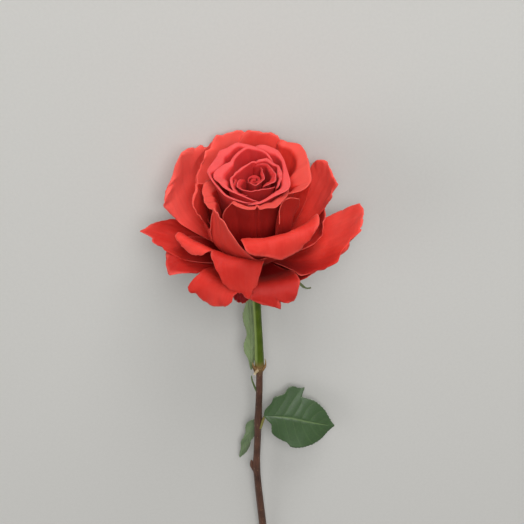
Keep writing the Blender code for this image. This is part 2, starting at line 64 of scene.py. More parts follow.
# Petal midlines are followed a little past the drawn tip, with their corners rounded off
STATIONS = 300
REACH = 1.25
LEAN_SMOOTHING = 26
# How far right and back the bud's middle and its core stand, and the turn from one core petal to the next
BUD_MIDDLE = (-1.0, 2.0)
CORE_MIDDLE = (-1.15, 1.2)
GOLDEN_ANGLE = 137.5

# A petal's grid is shared between the blade below its widest line and the round crown above it
GRID_SPLIT = 0.5
# A drawn margin keeps this share of the random raggedness, and a crown's margin moves this many times
# as far along the blade as across it
DRAWN_RAGGEDNESS = 0.45
CROWN_STRETCH = 2.0
# A skewed blade turns round this share of its length
SKEW_PIVOT = 0.6
# The bend across a blade is added up in steps, and neither winds up nor follows too small a circle
BEND_STEPS = 14
MOST_BEND = 2.9
LEAST_RADIUS = 1.5
# A lip keeps at least this length, so that it still turns over
LEAST_LIP = 0.3

# Painted shade: petals are painted a deeper red towards the foot, where shade gathers, between these shares
# of their length
FOOT_PAINTED_SHADE = 0.5
FOOT_FROM = 0.15
FOOT_TO = 0.6

# The stem below the bloom, as heights with its sideways drift
STEM_LEAN = 0.1737
STEM_HEIGHTS = (-212.0, -187.0, -160.0, -141.0, -122.0, -101.0, -86.0, -70.0, -52.0, -27.0, -3.0)
STEM_DRIFT = (4.8, 2.9, 0.6, -0.7, 0.0, 0.6, 1.0, 1.15, 0.75, -0.3, -0.2)
RECEPTACLE_BOTTOM = -3.0
NODE_GAP = 0.3
STALK_END = -69.5
CANE_END = -212.0

# Sockets of a colour Mix node: its share, the colours under and over, and the colour that comes out
SHARE, UNDER, OVER, MIXED = 0, 6, 7, 2

Array = np.ndarray
Place = Callable[[Array, Array], Array]


class Slot(Enum):
    """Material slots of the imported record."""

    PETAL = "petal_red"
    STALK = "stalk_green"
    CANE = "cane_brown"
    LEAF = "leaf_green"
    PALE_LEAF = "leaf_pale"


def srgb(code: str) -> tuple[float, float, float, float]:
    """Turn an sRGB hex colour to linear light.

    Args:
        code: A colour such as "#d63d36".

    Returns:
        Linear red, green, blue and an alpha of 1.
    """
    shares = [int(code[start:start + 2], 16) / 255.0 for start in (1, 3, 5)]
    linear = [s / 12.92 if s <= 0.04045 else ((s + 0.055) / 1.055) ** 2.4 for s in shares]
    return (*linear, 1.0)


def texture_scale(size: float) -> float:
    """Turn the size of a pattern in millimetres to its scale on Object coordinates."""
    return 1.0 / (size * MM)


def smooth_step(x: Array | float, start: float = 0.0, end: float = 1.0) -> Array:
    """Ease from 0 at the start to 1 at the end."""
    share = np.clip((x - start) / (end - start), 0.0, 1.0)
    return share * share * (3.0 - 2.0 * share)


def waves(x: Array, *rows: tuple[float, float, Any]) -> Array:
    """Add up sine waves, each given by its height, its rate and its phase."""
    return sum(height * np.sin(rate * x + phase) for height, rate, phase in rows)


def turn_to_floor(points: Any) -> Array:
    """Turn directions of the bloom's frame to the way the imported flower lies.

    Args:
        points: Directions, or places measured from the petals' base.

    Returns:
        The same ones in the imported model's directions.
    """
    points = np.asarray(points, float)
    slope = math.atan(FLOOR_SLOPE)
    along = points[..., 1] * math.sin(slope) + points[..., 2] * math.cos(slope)
    high = points[..., 2] * math.sin(slope) - points[..., 1] * math.cos(slope)
    return np.stack([points[..., 0], along, high], -1)


def to_floor(points: Any) -> Array:
    """Place points of the bloom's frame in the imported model's frame, still in millimetres."""
    return turn_to_floor(points) + UP * FLOOR_BACK * math.cos(math.atan(FLOOR_SLOPE)) + ROW_SHIFT


def stem_point(height: Array | float, sideways: float = 0.0, front: float = 0.0) -> Array:
    """Find a place beside the stem's line.

    Args:
        height: Height in the bloom's frame, negative below the bloom.
        sideways: Distance to the right of the line.
        front: Distance in front of the line.

    Returns:
        The place in the bloom's frame, in millimetres.
    """
    height = np.asarray(height, float)
    drift = np.interp(height, STEM_HEIGHTS, STEM_DRIFT)
    return np.stack([drift + sideways, STEM_LEAN * height - front, height], -1)


def rounded_route(points: Any, count: int) -> Array:
    """Follow a few rows of numbers, such as places, with one smooth curve.

    Args:
        points: The rows, each with as many numbers as the others.
        count: How many rows to return.

    Returns:
        Evenly shared rows on a curve through the given ones.
    """
    points = np.asarray(points, float)
    ends = np.vstack([2 * points[0] - points[1], points, 2 * points[-1] - points[-2]])
    share = np.linspace(0.0, len(points) - 1.0, count)
    leg = np.minimum(share.astype(int), len(points) - 2)
    t = (share - leg)[:, None]
    a, b, c, d = (ends[leg + step] for step in range(4))
    return 0.5 * (2 * b + (c - a) * t + (2 * a - 5 * b + 4 * c - d) * t ** 2
                  + (3 * b - a - 3 * c + d) * t ** 3)


def rounded_interp(x: Array, stations: Sequence[float], values: Sequence[float]) -> Array:
    """Interpolate like np.interp, but along a smooth curve."""
    line = rounded_route(np.stack([stations, values], -1), STATIONS)
    return np.interp(x, line[:, 0], line[:, 1])


def tapered(radii: Sequence[float], tip: float = 0.0) -> Place:
    """Make the rule for a growth's radius.

    Args:
        radii: Evenly spaced radii from its root to its tip.
        tip: Share of its length over which the tip is rounded off.

    Returns:
        A rule that takes the turn and the share of the length and gives the radius.
    """

    def radius(turn: Array, share: Array) -> Array:
        """Give the radius at each share of the length.

        Args:
            turn: Place round the growth, from 0 to 1.
            share: Place along it, from 0 to 1.

        Returns:
            The radius there.
        """
        size = np.interp(share, np.linspace(0.0, 1.0, len(radii)), radii)
        near = np.clip((share - 1.0) / tip + 1.0, 0.0, 1.0) if tip else 0.0
        return size * np.sqrt(1.0 - near ** 2)

    return radius


def fill_node(tree: Any, node: Any, values: dict) -> None:
    """Set a shader node's properties and inputs.

    Args:
        tree: The material's node tree.
        node: One of its nodes.
        values: Values by property name, input name or input number. A socket is linked to that input,
            and "stops" fills a colour ramp with rows of a position and a hex colour.
    """
    for key, value in values.items():
        if isinstance(value, bpy.types.NodeSocket):
            tree.links.new(value, node.inputs[key])
        elif key == "stops":
            ramp = node.color_ramp.elements
            while len(ramp) < len(value):
                ramp.new(0.5)
            for element, (position, colour) in zip(ramp, value):
                element.position = position
                element.color = srgb(colour)
        elif isinstance(key, int) or key in node.inputs:
            node.inputs[key].default_value = value
        else:
            setattr(node, key, value)


def add_node(tree: Any, kind: str, values: dict | None = None) -> Any:
    """Add one shader node with its settings and links.

    Args:
        tree: The material's node tree.
        kind: Blender's name for the node's type, without "ShaderNode".
        values: Its settings and links, as for fill_node.

    Returns:
        The new node's outputs.
    """
    node = tree.nodes.new(f"ShaderNode{kind}")
    fill_node(tree, node, values or {})
    return node.outputs


def new_material(name: str) -> tuple[Any, Any]:
    """Start a material with a Principled shader.

    Args:
        name: The material's name.

    Returns:
        The material and its node tree.
    """
    material = bpy.data.materials.new(name)
    material.use_nodes = True
    return material, material.node_tree


def shaded(material: Any, values: dict) -> Any:
    """Finish a material.

    Args:
        material: The material, with its patterns in place.
        values: Settings and links of its Principled shader, as for fill_node.

    Returns:
        The same material.
    """
    tree = material.node_tree
    fill_node(tree, tree.nodes["Principled BSDF"], values)
    return material


def layered(tree: Any, colour: Any, layers: Sequence[tuple[Any, dict, str]]) -> Any:
    """Lay further colours over one, each where its own pattern puts it.

    Args:
        tree: The material's node tree.
        colour: The colour underneath, linear or as a socket.
        layers: Rows of the pattern's socket, the limits that turn it to a share of 0 to 1 unless it is
            one already, and the hex colour.

    Returns:
        The socket of the whole colour.
    """
    for pattern, limits, over in layers:
        share = add_node(tree, "MapRange", {"Value": pattern, **limits})
        colour = add_node(tree, "Mix", {
            "data_type": "RGBA", SHARE: share["Result"], UNDER: colour, OVER: srgb(over)})[MIXED]
    return colour


def map_surface(work: bmesh.types.BMesh) -> None:
    """Keep a flat mesh's own place, from -1 to 1 each way, as its UV map.

    Args:
        work: The mesh, not yet bent or moved.
    """
    surface = work.loops.layers.uv.new("Surface")
    for face in work.faces:
        for loop in face.loops:
            loop[surface].uv = ((loop.vert.co.x + 1.0) / 2.0, (loop.vert.co.y + 1.0) / 2.0)


def sheet_mesh(columns: int, rows: int, place: Place) -> bmesh.types.BMesh:
    """Lay a square grid over a formula, with the grid's own squares as its UV map.

    Args:
        columns: Squares across.
        rows: Squares along.
        place: Takes u (-1 to 1, across) and v (0 to 1, along) and gives places in millimetres.

    Returns:
        A bmesh in metres.
    """
    work = bmesh.new()
    bmesh.ops.create_grid(work, x_segments=columns, y_segments=rows, size=1.0)
    map_surface(work)
    square = np.array([tuple(vertex.co) for vertex in work.verts])
    for vertex, point in zip(work.verts, place(square[:, 0], (square[:, 1] + 1.0) / 2.0) * MM):
        vertex.co = point
    return work


def tube_mesh(sides: int, rows: int, route: Array, radius: Place) -> bmesh.types.BMesh:
    """Wrap a grid round a route as a closed tube whose ends close on their own radius.

    Args:
        sides: Squares round the tube.
        rows: Squares along it.
        route: Places along the middle, in millimetres.
        radius: Takes the turn (0 to 1) and the share of the length and gives the radius there.

    Returns:
        A closed bmesh in metres with its faces outwards.
    """
    stations = np.linspace(0.0, 1.0, len(route))
    tangent = np.gradient(route, axis=0)
    tangent /= np.linalg.norm(tangent, axis=1)[:, None]
    first = np.array([1.0, 0.0, 0.0]) - tangent * tangent[:, :1]
    first /= np.linalg.norm(first, axis=1)[:, None]
    second = np.cross(tangent, first)

    def place(u: Array, v: Array) -> Array:
        """Wrap the grid round the route.

        Args:
            u: Round the tube, from -1 to 1.
            v: Along it, from 0 to 1.

        Returns:
            Places in millimetres.
        """
        angle = math.pi * u[..., None]
        middle, one, other = (np.stack([np.interp(v, stations, column) for column in table.T], -1)
                              for table in (route, first, second))
        return middle + radius((u + 1.0) / 2.0, v)[..., None] * (np.cos(angle) * one + np.sin(angle) * other)

    work = sheet_mesh(sides, rows, place)
    bmesh.ops.remove_doubles(work, verts=work.verts, dist=1e-6)
    bmesh.ops.holes_fill(work, edges=work.edges, sides=0)
    bmesh.ops.recalc_face_normals(work, faces=work.faces)
    return work


def new_object(name: str, data: Any) -> Any:
    """Add an object to the scene.

    Args:
        name: Its name.
        data: Its mesh, light or camera.

    Returns:
        The new object.
    """
    item = bpy.data.objects.new(name, data)
    bpy.context.scene.collection.objects.link(item)
    return item


def mesh_object(name: str, work: bmesh.types.BMesh, materials: Sequence[Any]) -> Any:
    """Turn a bmesh into an object.

    Args:
        name: The object's name.
        work: The mesh in metres; it is freed.
        materials: Its materials, in the order of their numbers.

    Returns:
        The new object.
    """
    mesh = bpy.data.meshes.new(name)
    work.to_mesh(mesh)
    work.free()
    for material in materials:
        mesh.materials.append(material)
    return new_object(name, mesh)


def finished_piece(name: str, work: bmesh.types.BMesh, materials: Sequence[Any], node: str,
                   thickness: float = 0.0) -> Any:
    """Turn a bmesh into a piece of the flower.

    Args:
        name: The piece's name.
        work: The mesh in metres; it is freed.
        materials: One material, or the reverse, face and rim of a sheet.
        node: The CAD node that the piece stands for.
        thickness: Wall of a sheet in millimetres, or 0 for a body that is closed already.

    Returns:
        The new object, riding on the flower's body.
    """
    piece = mesh_object(name, work, materials)
    piece.data.shade_smooth()
    if thickness:
        wall = piece.modifiers.new("wall", "SOLIDIFY")
        wall.thickness = thickness * MM
        wall.offset = 0.0
        wall.use_quality_normals = True
        wall.material_offset = 1
        wall.material_offset_rim = 2
    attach(piece, BODY)
    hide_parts(node)
    return piece


@dataclass(frozen=True)
class PetalFinish:
    """Living rose petal: velvety, because its cells stand up as tiny domes that scatter light.

    The face is a saturated red, darkened towards the foot with painted shade; the reverse is more matt and
    the root fades to a warm cream. The margin's pinker colour is painted light, for light through the thin
    margin and for the lit tops of the bud's lips. A per-point shading attribute adds painted shade where it
    is below 0 and painted light where it is above 0, on single petals and parts of them.
    """

    name: str
    face: str
    deep: str
    reverse: str
    rim: str
    painted_shade_colour: str = "#780408"
    painted_light_colour: str = "#f8685e"
    root: str = "#d98a62"
    down: str = "#ff9080"
    petal_mm: float = 38.0
    vein_mm: float = 0.9
    veins_along: float = 2.2
    mottle_mm: float = 11.0
    # The domes are 0.02 mm across and wouldn't show, so they are drawn this coarse
    cell_mm: float = 0.3

    def materials(self) -> list[Any]:
        """Make the reverse, face and rim materials, in the order that the sheet's wall uses.

        Returns:
            The three materials.
        """
        return [
            self._surface(f"{self.name}_reverse", self.reverse, self.face, 0.62),
            self._surface(f"{self.name}_face", self.face, self.deep, 0.52),
            self._surface(f"{self.name}_margin", self.face, self.deep, 0.6, 0.95),
        ]

    def _surface(self, name: str, light: str, dark: str, roughness: float, edge_share: float = 0.6) -> Any:
        """Make one side of the petal.

        Args:
            name: The material's name.
            light: Its main colour.
            dark: The colour of its mottling and veins.
            roughness: How matt that side is.
            edge_share: How far the free margin takes the rim's colour.

        Returns:
            The material.
        """
        material, tree = new_material(name)
        surface = add_node(tree, "UVMap", {"uv_map": "Surface"})["UV"]
        place = add_node(tree, "TexCoord")["Object"]
        fan = add_node(tree, "Mapping", {
            "Scale": (self.petal_mm / self.vein_mm, self.veins_along, 1.0), "Vector": surface})["Vector"]
        veins = add_node(tree, "TexNoise", {
            "Scale": 1.0, "Detail": 2.0, "Roughness": 0.55, "Vector": fan})["Fac"]
        mottle = add_node(tree, "TexNoise", {
            "Scale": texture_scale(self.mottle_mm), "Detail": 3.0, "Vector": place})["Fac"]
        cells = add_node(tree, "TexNoise", {
            "Scale": texture_scale(self.cell_mm), "Detail": 1.0, "Vector": place})["Fac"]
        spread = add_node(tree, "MapRange", {
            "From Min": 0.35, "From Max": 0.7, "To Max": 0.75, "Value": mottle})["Result"]
        streak = add_node(tree, "MapRange", {
            "From Min": 0.45, "From Max": 0.75, "To Max": 0.22, "Value": veins})["Result"]
        both = add_node(tree, "Math", {"operation": "ADD", "use_clamp": True, 0: spread, 1: streak})["Value"]
        height = add_node(tree, "SeparateXYZ", {"Vector": surface})["Y"]
        tone = add_node(tree, "Attribute", {"attribute_name": "tone"})["Fac"]
        margin = add_node(tree, "Attribute", {"attribute_name": "margin"})["Fac"]
        # Painted shade and painted light: the shading attribute mixes towards the darkest colour below 0 and
        # the lightest above 0; the rim colour over the margin is painted light too
        coloured = layered(tree, srgb(light), (
            (both, {}, dark),
            (tone, {"From Max": -1.0}, self.painted_shade_colour),
            (tone, {}, self.painted_light_colour),
            (height, {"From Min": 0.02, "From Max": 0.1, "To Min": 0.6, "To Max": 0.0}, self.root),
            (margin, {"From Min": 0.75, "To Max": edge_share}, self.rim)))
        ribbed = add_node(tree, "Bump", {"Strength": 0.25, "Distance": 0.1 * MM, "Height": veins})["Normal"]
        downy = add_node(tree, "Bump", {
            "Strength": 0.3, "Distance": 0.04 * MM, "Height": cells, "Normal": ribbed})["Normal"]
        return shaded(material, {
            "Base Color": coloured, "Normal": downy, "Roughness": roughness, "Specular IOR Level": 0.12,
            "Sheen Weight": 0.07, "Sheen Roughness": 0.45, "Sheen Tint": srgb(self.down),
            "Subsurface Weight": 0.22, "Subsurface Radius": (1.0, 0.22, 0.12), "Subsurface Scale": 1.2 * MM,
        })


@dataclass(frozen=True)
class LeafFinish:
    """Rose leaf: a waxy cuticle over a dark blade, sunk veins, and a paler matt underside.

    The mottling's scale is the number of its patches in a metre.
    """

    name: str
    blade: str
    deep: str
    vein: str
    underside: str
    roughness: float = 0.42
    vein_pairs: float = 8.0
    vein_climb: float = 1.7
    net_mm: float = 1.1
    mottle_scale: float = 140.0

    def materials(self) -> list[Any]:
        """Make the upper side, underside and rim materials, in the order that the sheet's wall uses.

        Returns:
            The three materials.
        """
        return [
            self._surface(f"{self.name}_upper", self.blade, self.deep, self.roughness),
            self._surface(f"{self.name}_underside", self.underside, self.blade, 0.6),
            self._surface(f"{self.name}_margin", self.underside, self.blade, 0.5),
        ]

    def _surface(self, name: str, light: str, dark: str, roughness: float) -> Any:
        """Make one side of the leaf.

        Args:
            name: The material's name.
            light: Its main colour.
            dark: The colour between its veins.
            roughness: How matt that side is.

        Returns:
            The material.
        """
        material, tree = new_material(name)
        surface = add_node(tree, "UVMap", {"uv_map": "Surface"})["UV"]
        place = add_node(tree, "TexCoord")["Object"]
        split = add_node(tree, "SeparateXYZ", {"Vector": surface})
        centred = add_node(tree, "Math", {"operation": "SUBTRACT", 0: split["X"], 1: 0.5})["Value"]
        side = add_node(tree, "Math", {"operation": "ABSOLUTE", 0: centred})["Value"]
        climb = add_node(tree, "Math", {"operation": "MULTIPLY", 0: side, 1: -2.0 * self.vein_climb})["Value"]
        lane = add_node(tree, "Math", {
            "operation": "MULTIPLY_ADD", 0: split["Y"], 1: self.vein_pairs, 2: climb})["Value"]
        wave = add_node(tree, "Math", {"operation": "PINGPONG", 0: lane, 1: 0.5})["Value"]
        ribs = add_node(tree, "MapRange", {
            "From Min": 0.05, "From Max": 0.0, "To Max": 0.28, "Value": wave})["Result"]
        midrib = add_node(tree, "MapRange", {
            "From Min": 0.024, "From Max": 0.008, "To Max": 0.7, "Value": side})["Result"]
        lines = add_node(tree, "Math", {"operation": "MAXIMUM", 0: ribs, 1: midrib})["Value"]
        net = add_node(tree, "TexVoronoi", {
            "feature": "DISTANCE_TO_EDGE", "Scale": texture_scale(self.net_mm), "Vector": place})["Distance"]
        mottle = add_node(tree, "TexNoise", {
            "Scale": self.mottle_scale, "Detail": 3.0, "Vector": place})["Fac"]
        veined = layered(tree, srgb(light), (
            (mottle, {}, dark),
            (net, {"From Max": 0.14, "To Min": 0.1, "To Max": 0.0}, self.vein),
            (lines, {}, self.vein)))
        relief = add_node(tree, "Bump", {"Strength": 0.3, "Distance": 0.08 * MM, "Height": net})["Normal"]
        return shaded(material, {
            "Base Color": veined, "Normal": relief, "Roughness": roughness, "Specular IOR Level": 0.45,
            "Subsurface Weight": 0.12, "Subsurface Radius": (0.4, 1.0, 0.2), "Subsurface Scale": 0.8 * MM,
        })


@dataclass(frozen=True)
class StemFinish:
    """Living rose stem: smooth bark with lengthwise fibres, small pores and a soft waxy sheen.

    The tip colour takes over between two shares of the length. The stalk has one side painted paler,
    a painted highlight for the side that the light falls on. The patches' scale is their number in a metre.
    """

    name: str
    main: str
    deep: str
    tip: str
    tip_from: float = 0.9
    tip_to: float = 1.0
    pores: float = 0.5
    roughness: float = 0.45
    painted_lit_side: str = ""
    pore: str = "#b89b74"
    fibre_mm: float = 0.5
    fibre_stretch: float = 14.0
    pore_mm: float = 2.2
    patch_scale: float = 90.0

    def material(self) -> Any:
        """Make the material.

        Returns:
            The material.
        """
        material, tree = new_material(self.name)
        surface = add_node(tree, "UVMap", {"uv_map": "Surface"})["UV"]
        place = add_node(tree, "TexCoord")["Object"]
        fine = texture_scale(self.fibre_mm)
        stretched = add_node(tree, "Mapping", {
            "Scale": (fine, fine / self.fibre_stretch, fine), "Vector": place})["Vector"]
        fibres = add_node(tree, "TexNoise", {
            "Scale": 1.0, "Detail": 3.0, "Roughness": 0.6, "Vector": stretched})["Fac"]
        pore_place = add_node(tree, "Mapping", {"Scale": (1.6, 0.8, 1.6), "Vector": place})["Vector"]
        pores = add_node(tree, "TexVoronoi", {
            "Scale": texture_scale(self.pore_mm), "Vector": pore_place})["Distance"]
        patches = add_node(tree, "TexNoise", {
            "Scale": self.patch_scale, "Detail": 2.0, "Vector": place})["Fac"]
        bark = add_node(tree, "Math", {"operation": "MULTIPLY_ADD", 0: fibres, 1: 0.6, 2: patches})["Value"]
        split = add_node(tree, "SeparateXYZ", {"Vector": surface})
        layers = [(bark, {"From Min": 0.6, "From Max": 1.05}, self.deep)]
        # Painted light: one side of the stalk is painted paler, as if lit from that side
        if self.painted_lit_side:
            turn = add_node(tree, "Math", {"operation": "SUBTRACT", 0: split["X"], 1: 0.5})["Value"]
            away = add_node(tree, "Math", {"operation": "ABSOLUTE", 0: turn})["Value"]
            layers.append((away, {"From Min": 0.29, "From Max": 0.37, "To Max": 0.85}, self.painted_lit_side))
        layers.append((split["Y"], {"From Min": self.tip_from, "From Max": self.tip_to}, self.tip))
        layers.append((pores, {"From Min": 0.2, "From Max": 0.1, "To Max": self.pores}, self.pore))
        relief = add_node(tree, "Bump", {"Strength": 0.5, "Distance": 0.12 * MM, "Height": fibres})["Normal"]
        return shaded(material, {
            "Base Color": layered(tree, srgb(self.main), layers), "Normal": relief,
            "Roughness": self.roughness, "Specular IOR Level": 0.22, "Subsurface Weight": 0.08,
            "Subsurface Radius": (0.6, 1.0, 0.3), "Subsurface Scale": 0.8 * MM,
        })


@dataclass(frozen=True)
class CutWoodFinish:
    """Freshly cut stem end: pale moist wood with a pith in the middle and a thin green-brown rind.

    Its rings follow the cut's own UV map, whose middle is the pith.
    """

    name: str = "cut_stem_wood"
    rings: tuple = ((0.0, "#e3d9b8"), (0.3, "#efe6c6"), (0.34, "#c3b07c"), (0.78, "#d6c795"),
                    (0.84, "#8d9a58"), (1.0, "#4c3a26"))

    def material(self) -> Any:
        """Make the material.

        Returns:
            The material.
        """
        material, tree = new_material(self.name)
        surface = add_node(tree, "UVMap", {"uv_map": "Surface"})["UV"]
        centred = add_node(tree, "Mapping", {
            "Location": (-1.0, -1.0, 0.0), "Scale": (2.0, 2.0, 1.0), "Vector": surface})["Vector"]
        away = add_node(tree, "VectorMath", {"operation": "LENGTH", 0: centred})["Value"]
        wood = add_node(tree, "ValToRGB", {"stops": self.rings, "Fac": away})["Color"]
        return shaded(material, {"Base Color": wood, "Roughness": 0.55, "Specular IOR Level": 0.4})


@dataclass(frozen=True)
class MattFloorFinish:
    """Matt painted board: an even pale grey with a trace of roller texture that kills any gloss.

    The grain's scale is the number of its flecks in a metre.
    """

    name: str = "matt_painted_board"
    colour: str = "#c1c0bb"
    fleck: str = "#bbbab5"
    grain_scale: float = 700.0

    def material(self) -> Any:
        """Make the material.

        Returns:
            The material.
        """
        material, tree = new_material(self.name)
        place = add_node(tree, "TexCoord")["Object"]
        grain = add_node(tree, "TexNoise", {
            "Scale": self.grain_scale, "Detail": 2.0, "Vector": place})["Fac"]
        return shaded(material, {
            "Base Color": layered(tree, srgb(self.colour), ((grain, {}, self.fleck),)),
            "Roughness": 0.9, "Specular IOR Level": 0.15})


def hold_off_floor(points: Array, press: float) -> Array:
    """Press points that would pass the floor back over it, as the lying flower's weight does.

    Args:
        points: Places in the bloom's frame, in millimetres.
        press: How far over the floor they stay.

    Returns:
        The same places, eased back towards the front.
    """
    over = points[..., 1] - (FLOOR_BACK + FLOOR_SLOPE * points[..., 2] - press)
    soft = np.where(over > -FLOOR_SOFTNESS, (over + FLOOR_SOFTNESS) ** 2 / (4.0 * FLOOR_SOFTNESS), 0.0)
    points[..., 1] -= np.where(over > FLOOR_SOFTNESS, over, soft)
    return points


@dataclass(frozen=True, kw_only=True)
class Blade:
    """What every petal has: its hold over the floor, its own random draws and its painted shading.

    The shading is 0 for the plain colour and -1 for the deepest painted shade, and above 0 it is painted
    light; every petal is also given painted shade towards its foot. Spots are rows of u, v, reach across,
    reach along and how much the shading changes there; the spots in use darken, as painted shade. Each
    kind of petal adds its own points and margin.
    """

    press: float = 0.4
    seed: int = 0
    tone: float = 0.0
    painted_shade_spots: tuple = ()

    def draws(self, place: Array, spread: float, count: int, height: float) -> tuple[Array, Array]:
        """Draw what makes this petal's margin its own.

        Args:
            place: Where each point lies along the margin.
            spread: How far the margin runs to either side of its middle.
            count: How many places bulge or dent it.
            height: The largest bulge.

        Returns:
            Six random phases for its waves, and the bulge or dent at each point.
        """
        random = np.random.default_rng(SEED + self.seed)
        phase = random.uniform(0.0, 2.0 * math.pi, 6)
        knots = np.sort(random.uniform(-spread, spread, count))
        return phase, np.interp(place, knots, random.uniform(-height, height, count))

    def painted_shading_at(self, u: Array, v: Array) -> Array:
        """Work out the painted shading, with painted shade deeper towards the foot.

        Args:
            u: Across, from -1 to 1.
            v: Along, from 0 to 1.

        Returns:
            The painted shading at each point.
        """
        # Painted shade: darker towards the foot, on top of the petal's own painted shading
        value = self.tone - FOOT_PAINTED_SHADE * (1.0 - smooth_step(v, FOOT_FROM, FOOT_TO))
        # Spots shift the painted shading; those in use are painted shade
        for middle, along, across_reach, along_reach, change in self.painted_shade_spots:
            away = ((u - middle) / across_reach) ** 2 + ((v - along) / along_reach) ** 2
            value = value + change * np.exp(-away)
        return value

    def sheet(self, columns: int, rows: int, clearance: float) -> bmesh.types.BMesh:
        """Build the petal's middle surface on the floor, with its margin and painted shading as attributes.

        Args:
            columns: Squares across.
            rows: Squares along.
            clearance: Least height over the floor, in millimetres.

        Returns:
            An open bmesh in metres.
        """
        kept: dict[str, Array] = {}

        def place(u: Array, v: Array) -> Array:
            """Lay the grid's points on the petal.

            Args:
                u: Across, from -1 to 1.
                v: Along, from 0 to 1.

            Returns:
                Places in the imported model's frame, in millimetres.
            """
            kept.update(margin=self.margin(u, v), tone=self.painted_shading_at(u, v))
            on_floor = to_floor(hold_off_floor(self.points(u, v), self.press))
            on_floor[..., 2] = np.maximum(on_floor[..., 2], clearance)
            return on_floor

        work = sheet_mesh(columns, rows, place)
        for name, values in kept.items():
            layer = work.verts.layers.float.new(name)
            for vertex, value in zip(work.verts, values):
                vertex[layer] = float(value)
        return work


